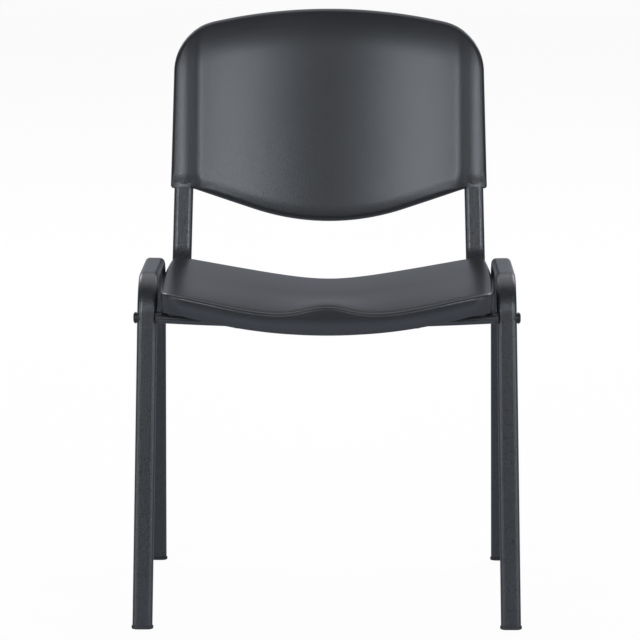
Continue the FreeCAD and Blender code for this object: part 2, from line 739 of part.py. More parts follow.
def back_outline():
    """Outline seen from the front: level band ends, a hanging lower edge, a round-shouldered top."""
    r = BACK_CORNER
    hub = shoulder_hub()
    side_end = hub + V(cos(BACK_SIDE_TAPER), 0, sin(BACK_SIDE_TAPER)) * r
    up = (hub - V(0, 0, BACK_TOP - BACK_TOP_RADIUS)).normalize()
    shoulder = hub + up * r
    corner_mid = hub + ((side_end - hub) + (shoulder - hub)).normalize() * r
    low_x = BACK_LOW_RADIUS * sin(BACK_FLANK_ANGLE)
    low_z = BACK_LOWEST + BACK_LOW_RADIUS * (1 - cos(BACK_FLANK_ANGLE))
    flank_x = low_x + (BAND_BOTTOM - low_z) / tan(BACK_FLANK_ANGLE)
    half = [V(low_x, 0, low_z), V(flank_x, 0, BAND_BOTTOM), V(back_side_x(BAND_BOTTOM), 0, BAND_BOTTOM)]

    def mirrored(p):
        return V(-p.x, p.y, p.z)

    right = half + [side_end]
    edges = [line(a, b) for a, b in zip(right, right[1:])]
    edges.append(arc(side_end, corner_mid, shoulder))
    edges.append(arc(shoulder, V(0, 0, BACK_TOP), mirrored(shoulder)))
    edges.append(arc(mirrored(shoulder), mirrored(corner_mid), mirrored(side_end)))
    left = [mirrored(p) for p in reversed(right)]
    edges += [line(a, b) for a, b in zip(left, left[1:])]
    edges.append(arc(left[-1], V(0, 0, BACK_LOWEST), right[0]))
    return Part.Wire(edges)


def back_prism(inset):
    """Block through the outline, front to back, drawn in by an inset."""
    wire = back_outline()
    if inset:
        wire = wire.makeOffset2D(-inset)
    face = Part.Face(wire)
    face.translate(Y_AXIS * -TUBE_WIDTH * 3)
    return face.extrude(Y_AXIS * (TUBE_WIDTH * 6))


def across_depth(x):
    """Depth of the front across the backrest: a hollow panel between crowned bands."""
    x = abs(x)
    reach = PANEL_RADIUS + CROWN_RADIUS
    if x < CROWN * PANEL_RADIUS / reach:
        deepest = BAND_FRONT + reach - math.sqrt(reach ** 2 - CROWN ** 2)
        return deepest - PANEL_RADIUS + math.sqrt(PANEL_RADIUS ** 2 - x ** 2)
    if x < CROWN:
        return BAND_FRONT + CROWN_RADIUS - math.sqrt(CROWN_RADIUS ** 2 - (CROWN - x) ** 2)
    past = max(0.0, x - CROWN - BAND_FLAT)
    return BAND_FRONT + past ** 2 / (2 * BAND_FALL_RADIUS)


def top_roll(x, height):
    """Depth by which the front rolls back towards the top edge, fading out round the corners."""
    hub = shoulder_hub()
    top_hub = BACK_TOP - BACK_TOP_RADIUS
    limit = math.atan2(hub.z - top_hub, hub.x)
    inside = BACK_TOP_RADIUS - math.hypot(x, height - top_hub)
    share = 1.0
    if math.atan2(height - top_hub, abs(x)) < limit:
        turn = math.atan2(height - hub.z, abs(x) - hub.x)
        inside = BACK_CORNER - math.hypot(abs(x) - hub.x, height - hub.z)
        share = math.sin(max(0.0, turn) / limit * math.pi / 2) ** 2
    return TOP_ROLL_DROP * share * max(0.0, 1 - inside / TOP_ROLL_SPAN) ** 2


def back_depth(x, height):
    return across_depth(x) + top_roll(x, height)


def back_slab(start, depth):
    """Slab that follows the front: crowned bands, a hollow panel and a rolled top."""
    panel = CROWN - CROWN_RADIUS / 2
    margin = BACK_EDGE
    side = BACK_WIDTH / 2 + margin
    half = [panel * k / PANEL_COLUMNS for k in range(PANEL_COLUMNS)]
    half += [panel + (side - panel) * k / BAND_COLUMNS for k in range(BAND_COLUMNS + 1)]
    low = BACK_LOWEST - margin
    rise = BACK_TOP + 2 * margin - low
    grid = []
    for x in [-x for x in reversed(half[1:])] + half:
        heights = [low + rise * k / BACK_ROWS for k in range(BACK_ROWS + 1)]
        grid.append([V(x, start + back_depth(x, height), height) for height in heights])
    surface = Part.BSplineSurface()
    surface.interpolate(grid)
    return surface.toShape().extrude(Y_AXIS * depth)


def sleeve(side):
    """Closed sleeve round an upright, still solid, run on below the band for trimming."""
    start = rail_point(RAIL_CORNER) + upright_way() * (BAND_BOTTOM - TUBE_WIDTH)
    wall = SLEEVE_CLEARANCE + SLEEVE_WALL
    length = SOCKET_TOP + SLEEVE_WALL - BAND_BOTTOM + TUBE_WIDTH
    body = oval_prism(start, upright_way() * length, TUBE_WIDTH + 2 * wall, TUBE_DEPTH + 2 * wall)
    top = max(body.Faces, key=lambda face: face.CenterOfMass.z)
    return to_rail_side(body.makeFillet(SLEEVE_EDGE, top.Edges), side)


def backrest_shell():
    outline = back_prism(0)
    front = back_slab(0, BACK_FLANGE).common(outline)
    rim = [e for e in front.Edges if is_front_rim(e)]
    body = to_back(front.makeFillet(BACK_EDGE, rim))
    hollow = to_back(back_slab(PANEL_WALL, BACK_FLANGE).common(back_prism(PANEL_WALL)))
    trim = to_back(outline)
    for side in SIDES.values():
        socket = oval_rod(socket_points(), UPRIGHT_BEND, TUBE_WIDTH + 2 * SLEEVE_CLEARANCE,
                          TUBE_DEPTH + 2 * SLEEVE_CLEARANCE)
        middle, rearward = back_screw_axis(side)
        hole = rod(middle, middle + rearward * (2 * TUBE_DEPTH), BACK_SCREW_DIAMETER + 2 * SCREW_CLEARANCE)
        hollow = hollow.cut(sleeve(side))
        body = body.fuse(sleeve(side).common(trim))
        hollow = hollow.fuse(to_rail_side(socket, side)).fuse(hole)
    return body.cut(hollow).removeSplitter()


def is_front_rim(edge):
    """True for an edge of the backrest's front face."""
    ends = [edge.valueAt(edge.FirstParameter), edge.valueAt(edge.LastParameter)]
    points = ends + [edge.valueAt((edge.FirstParameter + edge.LastParameter) / 2)]
    return all(abs(p.y - back_depth(p.x, p.z)) < PANEL_WALL / 4 for p in points)


def socket_points():
    """Centre line of an upright, run on to the top of its socket."""
    points = tube_points()
    return points[:2] + [points[1] + upright_way() * SOCKET_TOP]


def backrest_screw(side):
    """Pan-head screw from behind through a sleeve into its upright."""
    middle, rearward = back_screw_axis(side)
    seat = middle + rearward * (-BAND_FRONT + WELD_GAP)
    head = rod(seat, seat + rearward * BACK_SCREW_HEAD_HEIGHT, BACK_SCREW_HEAD)
    tip = seat - rearward * BACK_SCREW_LENGTH
    return head.fuse(rod(seat, tip, BACK_SCREW_DIAMETER)).removeSplitter()


# Assembly

def group(make, *rows):
    """Compound of one piece for each combination of side and end."""
    return Part.makeCompound([make(*row) for row in rows])


def build():
    corners = [(side, end) for end in ENDS for side in SIDES.values()]
    pieces = {}
    for name, side in SIDES.items():
        pieces[f"{name}_leg_hoop"] = leg_hoop(side)
        pieces[f"{name}_seat_back_tube"] = seat_back_tube(side)
        pieces[f"{name}_rail_plug"] = rail_plug(side)
        for end in ENDS:
            pieces[f"{end}_{name}_foot"] = foot(side, end)
            pieces[f"{end}_{name}_spacer"] = spacer(side, end)
    for end in ENDS:
        pieces[f"{end}_cross_bar"] = cross_bar(end)
    pieces["rail_welds"] = group(rail_weld, *[(*corner, edge) for corner in corners for edge in (-1, 1)])
    pieces["thread_inserts"] = group(thread_insert, *corners)
    pieces["saddle_washers"] = group(saddle_washer, *corners)
    pieces["frame_bolts"] = group(frame_bolt, *corners)
    pieces["seat_shell"] = seat_shell()
    pieces["seat_screws"] = group(seat_screw, *corners)
    pieces["backrest_shell"] = backrest_shell()
    pieces["backrest_screws"] = group(backrest_screw, *[(side,) for side in SIDES.values()])
    return pieces


def centred(pieces):
    """Moves the chair so that its box stands centred over the origin."""
    whole = Part.makeCompound(list(pieces.values())).optimalBoundingBox()
    move = V(0, -(whole.YMin + whole.YMax) / 2, 0)
    for shape in pieces.values():
        shape.translate(move)
    return pieces


def main():
    os.makedirs("parts", exist_ok=True)
    for name, shape in centred(build()).items():
        shape.exportStep(f"parts/{name}.step")


main()
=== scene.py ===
"""Looks of a stacking visitor chair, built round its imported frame.

Lengths are metres and angles degrees. Meshes are drawn with Y counted from the front feet, as the part's
source draws them, and moved into the frame when they become pieces.
"""
import math

import bmesh
import bpy
import numpy as np
from mathutils import Matrix, Vector


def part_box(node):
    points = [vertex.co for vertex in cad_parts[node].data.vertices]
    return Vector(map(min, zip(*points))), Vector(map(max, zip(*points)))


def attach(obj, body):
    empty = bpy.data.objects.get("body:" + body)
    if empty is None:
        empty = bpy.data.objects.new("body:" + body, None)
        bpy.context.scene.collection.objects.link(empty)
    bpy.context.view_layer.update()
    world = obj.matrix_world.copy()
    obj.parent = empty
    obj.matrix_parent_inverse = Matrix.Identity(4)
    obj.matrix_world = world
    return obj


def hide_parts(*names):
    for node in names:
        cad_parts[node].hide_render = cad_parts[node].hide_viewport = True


SIDES = {"left": -1, "right": 1}
ENDS = ("front", "rear")
MIRROR = np.array((-1, 1))

# Flat-oval tube
TUBE_WIDTH = 0.028
TUBE_DEPTH = 0.014
TUBE_FLAT = TUBE_WIDTH - TUBE_DEPTH

# Leg hoops
FOOT_SPACING_X = 0.514
FOOT_SPACING_Y = 0.430
LEG_SPLAY = 0.93
FRONT_LEG_LEAN = 7.5
REAR_LEG_LEAN = 15.0
HOOP_HEIGHT = 0.4817
HOOP_TOP_SLOPE = 2.0
HOOP_BEND = 0.050
FOOT_FLANGE = 0.004

# Cross bars and the bolts at their ends
BAR_BOW = 0.0065
BAR_DROP = 0.0513
FRAME_SLOPE = 1.2
SPACER_GAP = 0.003
INSERT_LENGTH = 0.018
WASHER_CREST = 0.0008
BOLT_DIAMETER = 0.008
BOLT_HEAD_DIAMETER = 0.016
BOLT_HEAD_HEIGHT = 0.0044
BOLT_HEAD_ROUND = 0.0038
BOLT_SHANK = 0.030
BOLT_SOCKET = 0.005
BOLT_SOCKET_DEPTH = 0.0022
SOCKET_CHAMFER = 0.0002

# Seat-back tubes
RAIL_INSET = 0.0172
RAIL_FRONT = 0.030
RAIL_CORNER = 0.410
RAIL_TOE = 1.3
UPRIGHT_LEAN = 14.0
UPRIGHT_TOE = 1.6
UPRIGHT_LENGTH = 0.313
UPRIGHT_BEND = 0.052
UPRIGHT_BEND_SHARE = 0.9
WELD_GAP = 0.00005

# Seat
SEAT_OVERHANG = 0.001
SEAT_SIDE_BOW = 0.006
SEAT_FRONT = -0.020
SEAT_DEPTH = 0.418
SEAT_FRONT_CURVE = 0.026
SEAT_REAR_CURVE = 0.008
SEAT_CORNER = 0.038
SEAT_WALL = 0.0036
SKIRT_WALL = 0.0024
SKIRT_TUCK = 0.008
SKIRT_TUCK_SPAN = 0.026
SEAT_EDGE = 0.004
SKIRT_CLEARANCE = 0.0041
LIP_DROP = 0.0251
LIP_INSET = 0.028
LIP_BLEND = 0.0012
FRONT_DIP_RISE = 0.0315
FRONT_SIDE_RISE = 0.027
FRONT_DIP_START = 0.050
FRONT_DIP_SPAN = 0.215
POMMEL_RISE = 0.0107
POMMEL_WIDTH = 0.040
REAR_RISE = 0.0152
REAR_FLANK_SLOPE = 0.2
REAR_FLANK_ROUND = 0.012
SADDLE_BLEND_START = -0.030
SADDLE_BLEND_SPAN = 0.280
FRONT_ROLL_DROP = 0.0012
FRONT_ROLL_SPAN = 0.020
SIDE_ROLL_DROP = 0.003
SIDE_ROLL_SPAN = 0.026
SEAT_FLAT_INSET = 0.030
TUBE_ROOM = 0.0015
RIB_WALL = 0.0024
RIB_DEPTH = 0.009
RIB_SPACING = 0.062
RIB_COUNT = 3
RIB_INSET = 0.044
RIB_TAPER = 0.75
RIB_FADE = 3 * RIB_DEPTH
PAD_LENGTH = 0.200
PAD_WIDTH = 0.010
BOSS_DIAMETER = 0.015
BOSS_SPACING = 0.250
BOSS_GAP = 0.0003
SEAT_SCREW = {"diameter": 0.010, "height": 0.003, "shank": 0.0047, "length": 0.024}

# Screw heads and their cross recesses, as shares of the head
SCREW_RIM = 0.3
SCREW_ROUND = 0.4
RECESS_SPAN = 0.55
RECESS_FLOOR = 0.55
RECESS_CORE = 0.32
RECESS_SHARPNESS = 14
RECESS_SCALES = (0.98, 0.8)

# Backrest, heights along the uprights from the rail corner
BACK_OVERHANG = 0.0168
BACK_SIDE_TAPER = 1.34
BAND_BOTTOM = 0.1271
BAND_CORNER = 0.004
BAND_EDGE = 0.002
BAND_EDGE_BLEND = 0.030
BACK_CREST = 0.0862
BACK_TOP_RADIUS = 0.660
BACK_CORNER = 0.080
BACK_HANG = 0.0463
BACK_LOW_RADIUS = 0.368
BACK_FLANK_ANGLE = 17.4
FLANK_BLEND = 0.018
BAND_WIDTH = 0.0338
BAND_FLAT = 0.007
BAND_FALL_RADIUS = 0.075
CROWN_RADIUS = 0.052
PANEL_RADIUS = 0.675
PANEL_WALL = 0.0036
TOP_ROLL_DROP = 0.0075
TOP_ROLL_SPAN = 0.060
BACK_FLANGE = 0.014
BACK_EDGE = 0.007
FLANGE_FILLET = 0.0012
FLANGE_FILLET_INSET = 0.0004
LIP_BAND = 0.017
LIP_STEP = 0.0009
LIP_STEP_SPAN = 0.003
LIP_ROLL = 0.0024
LIP_ROLL_SPAN = 0.017
SLEEVE_WALL = 0.0032
SLEEVE_CLEARANCE = 0.0003
SLEEVE_OVERRUN = 0.006
SLEEVE_EDGE = 0.003
SLEEVE_LIFT = 0.0004
SLEEVE_CHAMFER = 0.0006
BACK_SCREW = {"diameter": 0.008, "height": 0.0026, "shank": 0.004, "length": 0.012}
BACK_SCREW_HEIGHT = 0.190

# Fineness of the meshes
SECTION_STEPS = 10
BEND_STEPS = 28
BAR_STEPS = 40
ROUND_STEPS = 48
BOSS_STEPS = 32
RIB_STEPS = 48
SEAT_CORNER_STEPS = 14
SEAT_END_STEPS = 44
SEAT_SIDE_STEPS = 64
SEAT_FLAT_ROWS = 8
SEAT_EDGE_ROWS = 10
SKIRT_ROWS = 16
HEM_ROWS = 8
LINER_ROWS = 8
FILLET_ROWS = 6
SEAT_UNDER_ROWS = 4
BACK_CORNER_STEPS = 34
BACK_TOP_STEPS = 44
BACK_SIDE_STEPS = 44
BACK_EDGE_ROWS = 11
FLANGE_ROWS = 4
SLEEVE_ROWS = 11
LOW_ARC_STEPS = 39
BLEND_STEPS = 12
EDGE_STEP = 0.001
BOLT_CROWN_ROWS = 8
SCREW_CROWN_ROWS = 7
SHARP_ANGLE = 38.0
FASTENER_SHARP_ANGLE = 30.0
MERGE_DISTANCE = 0.000001
TUBE_MERGE_DISTANCE = 0.00001
ROUND_SHARE = 0.4999

# Viewpoint of the photograph, with shifts as shares of the picture's width
CAMERA_DISTANCE = 5.5175
CAMERA_HEIGHT = 1.3723
CAMERA_PITCH = 9.628
CAMERA_TURN = 0.42
CAMERA_LENS = 228.7
CAMERA_SHIFT_X = -0.0104
CAMERA_SHIFT_Y = 0.0002
CAMERA_SENSOR = 36.0
CAMERA_REACH = 200.0

# Studio
COOL_SHEEN = (0.86, 0.92, 1.0, 1.0)
# Painted reflection: glossy rays see the floor and backdrop glow in this cool tint, not lit
PAINTED_REFLECTION_TINT = (0.90, 0.94, 1.06, 1.0)
FLOOR_SHADE = (0.9, 0.9, 0.9, 1.0)
FLOOR_GLOW = 0.94
# Painted highlight and painted shade in reflections: the stage glows fully in a band just in front of the
# chair, which the seat's lower lip reflects as a painted highlight. Between these places the glow then
# falls to a low level under and behind the chair, backdrop too, as painted shade of the chair's shadow
PAINTED_SHADE_GLOW = 0.45
PAINTED_BAND_GLOW = 1.0
PAINTED_SHADE_RAMP_START = -0.6
PAINTED_SHADE_RAMP_END = -0.3
# Painted reflection: the glow that reflections see fades to dark between these places, far in front of the
# chair
PAINTED_REFLECTION_FADE_START = -0.8
PAINTED_REFLECTION_FADE_END = -1.4
WORLD_SHADE = (0.05, 0.052, 0.056, 1.0)
CEILING_POWER = 150
CEILING_BACK = 2.7
CEILING_HEIGHT = 4.5
CEILING_SIZE = 6.0
LAMP_DISTANCE = 4.6

# Sheets of the stage: half width, then Y and Z of the near and the far edge
SHEETS = {"floor": (40.0, (-40.0, 0.0), (60.0, 0.0)), "backdrop": (8.0, (9.0, 0.0), (9.0, 6.0))}

# Lamps on each side: azimuth, height, height aimed at, width, length and power
SIDE_LAMPS = {
    "softbox": (23.5, 2.0, 0.6, 1.1, 1.8, 80),
    "strip": (60.0, 1.2, 1.2, 2.4, 2.4, 55),
    "rear_softbox": (140.0, 3.0, 0.6, 2.0, 2.0, 60),
}

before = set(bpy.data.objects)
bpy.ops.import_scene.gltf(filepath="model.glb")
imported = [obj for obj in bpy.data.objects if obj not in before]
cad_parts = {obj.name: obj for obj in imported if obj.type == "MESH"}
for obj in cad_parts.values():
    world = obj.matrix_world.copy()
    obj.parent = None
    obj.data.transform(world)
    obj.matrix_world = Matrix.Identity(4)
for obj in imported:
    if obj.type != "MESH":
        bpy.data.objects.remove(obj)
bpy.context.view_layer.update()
FEET_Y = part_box("seat_shell")[0].y - SEAT_FRONT


def tan(degrees):
    return math.tan(math.radians(degrees))


def cos(degrees):
    return math.cos(math.radians(degrees))


def sin(degrees):
    return math.sin(math.radians(degrees))


def smooth_step(t):
    """Rises from 0 to 1 with level ends."""
    return 0.5 - 0.5 * np.cos(np.pi * np.clip(t, 0.0, 1.0))


def steps(start, end, count):
    """Even steps from start to end, both included."""
    return np.linspace(start, end, count + 1)


def round_off(rows, sweep=math.pi / 2):
    """Steps along a unit arc that starts upwards: how far across and how far up."""
    return [(1 - math.cos(turn), math.sin(turn)) for turn in steps(0, sweep, rows)]


def unit(vectors):
    return vectors / np.linalg.norm(vectors, axis=-1, keepdims=True)


def bow_radius(half_span, rise):
    """Radius of an arc from its half span and its rise."""
    return (half_span ** 2 + rise ** 2) / (2 * rise)


def arc_rise(radius, aside):
    """Rise of an arc at a distance from its lowest point."""
    return radius - np.sqrt(np.maximum(0.0, radius ** 2 - aside ** 2))


def roll_off(inside, span):
    """Falls from 1 at an edge to a level 0 at a span inside it."""
    return np.maximum(0.0, 1 - inside / span) ** 2


BAR_END_HEIGHT = HOOP_HEIGHT - BAR_DROP
LEG_GAP = FOOT_SPACING_X - 2 * BAR_END_HEIGHT * tan(LEG_SPLAY) - TUBE_WIDTH / cos(LEG_SPLAY)
BAR_LENGTH = LEG_GAP - 2 * SPACER_GAP
SEAT_WIDTH = BAR_LENGTH + 2 * SEAT_OVERHANG
RAIL_SPACING = SEAT_WIDTH - 2 * RAIL_INSET
SKIRT_HEIGHT = BAR_END_HEIGHT + TUBE_DEPTH / 2 + SKIRT_CLEARANCE
LIP_HEIGHT = SKIRT_HEIGHT - LIP_DROP
LIP_HALF_SPAN = SEAT_WIDTH / 2 - LIP_INSET
RIB_HALF_SPAN = SEAT_WIDTH / 2 - RIB_INSET
BACK_WIDTH = RAIL_SPACING + 2 * BACK_OVERHANG
BACK_TOP = UPRIGHT_LENGTH + BACK_CREST
TOP_HUB = BACK_TOP - BACK_TOP_RADIUS
BACK_LOWEST = BAND_BOTTOM - BACK_HANG
BAND_FRONT = -(TUBE_DEPTH / 2 + SLEEVE_CLEARANCE + SLEEVE_WALL)
SOCKET_TOP = UPRIGHT_LENGTH + SLEEVE_OVERRUN
CROWN = BACK_WIDTH / 2 - BAND_WIDTH
UPRIGHT_WAY = Vector((0, sin(UPRIGHT_LEAN), cos(UPRIGHT_LEAN)))
UPRIGHT_BACK = Vector((0, cos(UPRIGHT_LEAN), -sin(UPRIGHT_LEAN)))
SEAT_COLUMNS = 2 * SEAT_CORNER_STEPS + 2 * SEAT_END_STEPS
SEAT_ROWS = 2 * SEAT_CORNER_STEPS + SEAT_SIDE_STEPS
BACK_COLUMNS = 2 * (BACK_CORNER_STEPS + BACK_TOP_STEPS)


# Nodes and materials

def set_inputs(tree, node, inputs):
    """Links each input to an output, or sets its value."""
    for socket, value in inputs.items():
        if isinstance(value, bpy.types.NodeSocket):
            tree.links.new(value, node.inputs[socket])
        else:
            node.inputs[socket].default_value = value


def add_node(tree, kind, inputs, **settings):
    """Outputs of a new node with its settings and inputs made."""
    node = tree.nodes.new(kind)
    for name, value in settings.items():
        setattr(node, name, value)
    set_inputs(tree, node, inputs)
    return node.outputs


def product(tree, a, b):
    return add_node(tree, "ShaderNodeMath", {0: a, 1: b}, operation="MULTIPLY")[0]


def noise(tree, scale, detail, roughness=0.5):
    place = add_node(tree, "ShaderNodeTexCoord", {})["Object"]
    inputs = {"Vector": place, "Scale": scale, "Detail": detail, "Roughness": roughness}
    return add_node(tree, "ShaderNodeTexNoise", inputs)["Fac"]


def value_range(tree, source, low, high, start=0.3, end=0.7):
    """Stretches a value to a range."""
    inputs = {"Value": source, "From Min": start, "From Max": end, "To Min": low, "To Max": high}
    return add_node(tree, "ShaderNodeMapRange", inputs)["Result"]


def colour_range(tree, source, low, high, start=0.3, end=0.7):
    """Runs a value between two colours."""
    node = tree.nodes.new("ShaderNodeValToRGB")
    for element, place, colour in zip(node.color_ramp.elements, (start, end), (low, high)):
        element.position = place
        element.color = (*colour, 1.0)
    tree.links.new(source, node.inputs["Fac"])
    return node.outputs["Color"]


def bump(tree, height, strength, distance, **before):
    inputs = {"Height": height, "Strength": strength, "Distance": distance, **before}
    return add_node(tree, "ShaderNodeBump", inputs)["Normal"]


def new_material(surface, base, roughness):
    """Plain material, then given what the function that it is named after makes."""
    material = bpy.data.materials.new(surface.__name__)
    material.use_nodes = True
    tree = material.node_tree
    shader = tree.nodes["Principled BSDF"]
    plain = {"Base Color": (*base, 1.0), "Roughness": roughness, "Specular Tint": COOL_SHEEN}
    set_inputs(tree, shader, plain)
    set_inputs(tree, shader, surface(tree))
    return material


def grained_plastic(tree):
    """Charcoal polypropylene with a fine spark-eroded grain."""
    cloud = noise(tree, scale=9.0, detail=3.0)
    grain = noise(tree, scale=1500.0, detail=2.0)
    pebble = noise(tree, scale=560.0, detail=3.0)
    coarse = bump(tree, pebble, strength=0.6, distance=0.00025)
    return {
        "Base Color": colour_range(tree, cloud, low=(0.0145, 0.0152, 0.0175), high=(0.0185, 0.0194, 0.022)),
        "Roughness": value_range(tree, grain, low=0.28, high=0.37),
        "Normal": bump(tree, grain, strength=0.35, distance=0.00008, Normal=coarse),
    }


def powder_coat(tree):
    """Black powder coat with a fine orange peel and a light speckle."""
    speckle = noise(tree, scale=800.0, detail=2.0)
    peel = noise(tree, scale=420.0, detail=2.0)
    coarse = bump(tree, peel, strength=0.5, distance=0.0003)
    return {
        "Base Color": colour_range(tree, speckle, low=(0.008, 0.009, 0.0105), high=(0.022, 0.023, 0.026),
                                   start=0.35, end=0.65),
        "Specular IOR Level": 0.7,
        "Roughness": value_range(tree, speckle, low=0.26, high=0.40),
        "Normal": bump(tree, speckle, strength=0.6, distance=0.0002, Normal=coarse),
    }


def fitting_plastic(tree):
    """Smooth black nylon with faint scuffs."""
    scuff = noise(tree, scale=160.0, detail=4.0, roughness=0.7)
    return {
        "Roughness": value_range(tree, scuff, low=0.42, high=0.62),
        "Normal": bump(tree, scuff, strength=0.2, distance=0.0001),
    }


def black_steel(tree):
    """Chemically blackened steel of bolts and screws."""
    turn = noise(tree, scale=700.0, detail=3.0)
    return {
        "Metallic": 0.6,
        "Roughness": value_range(tree, turn, low=0.28, high=0.45),
        "Normal": bump(tree, turn, strength=0.15, distance=0.00005),
    }


PLASTIC = new_material(grained_plastic, base=(0.015, 0.0155, 0.017), roughness=0.36)
COAT = new_material(powder_coat, base=(0.015, 0.016, 0.018), roughness=0.4)
FITTING = new_material(fitting_plastic, base=(0.016, 0.016, 0.017), roughness=0.5)
BLACK_STEEL = new_material(black_steel, base=(0.020, 0.020, 0.022), roughness=0.35)


# Meshes

def new_object(name, data):
    item = bpy.data.objects.new(name, data)
    bpy.context.scene.collection.objects.link(item)
    return item


def piece(name, mesh, material, slot, *nodes):
    """Finished piece in the frame: it rides on the chair and stands for CAD nodes."""
    item = new_object(name, mesh)
    mesh.transform(Matrix.Translation((0, FEET_Y, 0)))
    mesh.materials.clear()
    mesh.materials.append(material)
    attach(item, "root")
    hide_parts(*nodes)
    return item


def mesh_from(name, points, faces, sharp=SHARP_ANGLE):
    mesh = bpy.data.meshes.new(name)
    mesh.from_pydata(points, [], faces)
    tidy_mesh(mesh, sharp)
    return mesh


def tidy_mesh(mesh, sharp=SHARP_ANGLE):
    """Merges doubles, turns faces outwards and shades smooth up to a sharp angle."""
    work = bmesh.new()
    work.from_mesh(mesh)
    bmesh.ops.remove_doubles(work, verts=work.verts, dist=MERGE_DISTANCE)
    bmesh.ops.recalc_face_normals(work, faces=work.faces)
    work.to_mesh(mesh)
    work.free()
    mesh.shade_smooth()
    mesh.set_sharp_from_angle(angle=math.radians(sharp))


def grid_faces(rows, start=0):
    """Faces between neighbouring closed rows of equal length."""
    faces = []
    count = len(rows[0])
    for r in range(len(rows) - 1):
        low = start + r * count
        for k in range(count):
            n = (k + 1) % count
            faces.append((low + k, low + n, low + count + n, low + count + k))
    return faces


def add_body(points, faces, rows):
    """Adds a closed body given by rows of points."""
    start = len(points)
    count = len(rows[0])
    points += [tuple(p) for row in rows for p in row]
    faces += grid_faces(rows, start)
    faces.append(tuple(start + k for k in reversed(range(count))))
    faces.append(tuple(len(points) - count + k for k in range(count)))


# Geometry Nodes

def new_tree(name, *sockets):
    """Tree with a geometry input and output, and named inputs."""
    tree = bpy.data.node_groups.new(name, "GeometryNodeTree")
    tree.interface.new_socket("Geometry", in_out="INPUT", socket_type="NodeSocketGeometry")
    for label, kind in sockets:
        tree.interface.new_socket(label, in_out="INPUT", socket_type="NodeSocket" + kind)
    tree.interface.new_socket("Geometry", in_out="OUTPUT", socket_type="NodeSocketGeometry")
    source = tree.nodes.new("NodeGroupInput")
    sink = tree.nodes.new("NodeGroupOutput")
    return tree, source.outputs, sink.inputs


def end_tree(tree, source, sink, geometry):
    """Ends a tree with plain geometry in its material."""
    real = add_node(tree, "GeometryNodeRealizeInstances", {"Geometry": geometry})["Geometry"]
    inputs = {"Geometry": real, "Material": source["Material"]}
    tree.links.new(add_node(tree, "GeometryNodeSetMaterial", inputs)["Geometry"], sink["Geometry"])
    return tree


def run_tree(carrier, tree, **values):
    """Plain mesh that a tree makes from an object, with its named inputs set."""
    modifier = carrier.modifiers.new(tree.name, "NODES")
    modifier.node_group = tree
    for item in tree.interface.items_tree:
        key = item.name.replace(" ", "_").lower()
        if item.in_out == "INPUT" and key in values:
            modifier[item.identifier] = values[key]
    bpy.context.view_layer.update()
    made = carrier.evaluated_get(bpy.context.evaluated_depsgraph_get())
    mesh = bpy.data.meshes.new_from_object(made)
    carrier.modifiers.remove(modifier)
    bpy.data.objects.remove(carrier)
    return mesh


def tube_tree():
    """Flat-oval tube along a curve drawn in an upright plane."""
    tree, source, sink = new_tree("flat_oval_tube", ("Width", "Float"), ("Depth", "Float"),
                                  ("Corner Steps", "Int"), ("Material", "Material"))
    inputs = {"Width": source["Width"], "Height": source["Depth"]}
    box = add_node(tree, "GeometryNodeCurvePrimitiveQuadrilateral", inputs)["Curve"]
    radius = product(tree, source["Depth"], ROUND_SHARE)
    inputs = {"Curve": box, "Count": source["Corner Steps"], "Radius": radius}
    section = add_node(tree, "GeometryNodeFilletCurve", inputs, mode="POLY")["Curve"]
    path = add_node(tree, "GeometryNodeSetCurveNormal", {"Curve": source["Geometry"]}, mode="Z_UP")["Curve"]
    inputs = {"Curve": path, "Profile Curve": section, "Fill Caps": True}
    tube = add_node(tree, "GeometryNodeCurveToMesh", inputs)["Mesh"]
    inputs = {"Geometry": tube, "Distance": TUBE_MERGE_DISTANCE}
    merged = add_node(tree, "GeometryNodeMergeByDistance", inputs)["Geometry"]
    return end_tree(tree, source, sink, merged)


def fastener_tree():
    """One fastener on each point, its axis along the point's aim."""
    tree, source, sink = new_tree("fasteners", ("Fastener", "Object"), ("Material", "Material"))
    model = add_node(tree, "GeometryNodeObjectInfo", {"Object": source["Fastener"]})["Geometry"]
    aim = add_node(tree, "GeometryNodeInputNamedAttribute", {"Name": "aim"}, data_type="FLOAT_VECTOR")
    turn = add_node(tree, "FunctionNodeAlignRotationToVector", {"Vector": aim["Attribute"]}, axis="Z")
    points = add_node(tree, "GeometryNodeMeshToPoints", {"Mesh": source["Geometry"]})["Points"]
    inputs = {"Points": points, "Instance": model, "Rotation": turn["Rotation"]}
    copies = add_node(tree, "GeometryNodeInstanceOnPoints", inputs)["Instances"]
    return end_tree(tree, source, sink, copies)


TUBE_TREE = tube_tree()
FASTENER_TREE = fastener_tree()


def rounded_path(points, radius):
    """Straight runs joined by tangent arcs of one radius."""
    path = [points[0]]
    for before, corner, after in zip(points, points[1:], points[2:]):
        inward = (before - corner).normalized()
        onward = (after - corner).normalized()
        half = inward.angle(onward) / 2
        hub = corner + (inward + onward).normalized() * (radius / math.sin(half))
        start = corner + inward * (radius / math.tan(half)) - hub
        axis = start.cross(onward)
        sweep = math.pi - 2 * half
        for k in range(BEND_STEPS + 1):
            path.append(hub + Matrix.Rotation(sweep * k / BEND_STEPS, 3, axis) @ start)
    path.append(points[-1])
    return path


def tube_mesh(path, move):
    """Flat-oval tube along points in an upright plane, moved from there to its place."""
    curve = bpy.data.curves.new("tube_path", "CURVE")
    curve.dimensions = "3D"
    spline = curve.splines.new("POLY")
    spline.points.add(len(path) - 1)
    for point, place in zip(spline.points, path):
        point.co = (*place, 1.0)
    mesh = run_tree(new_object("tube_path", curve), TUBE_TREE, width=TUBE_WIDTH, depth=TUBE_DEPTH,
                    corner_steps=SECTION_STEPS, material=COAT)
    bpy.data.curves.remove(curve)
    mesh.transform(move)
    tidy_mesh(mesh)
    return mesh


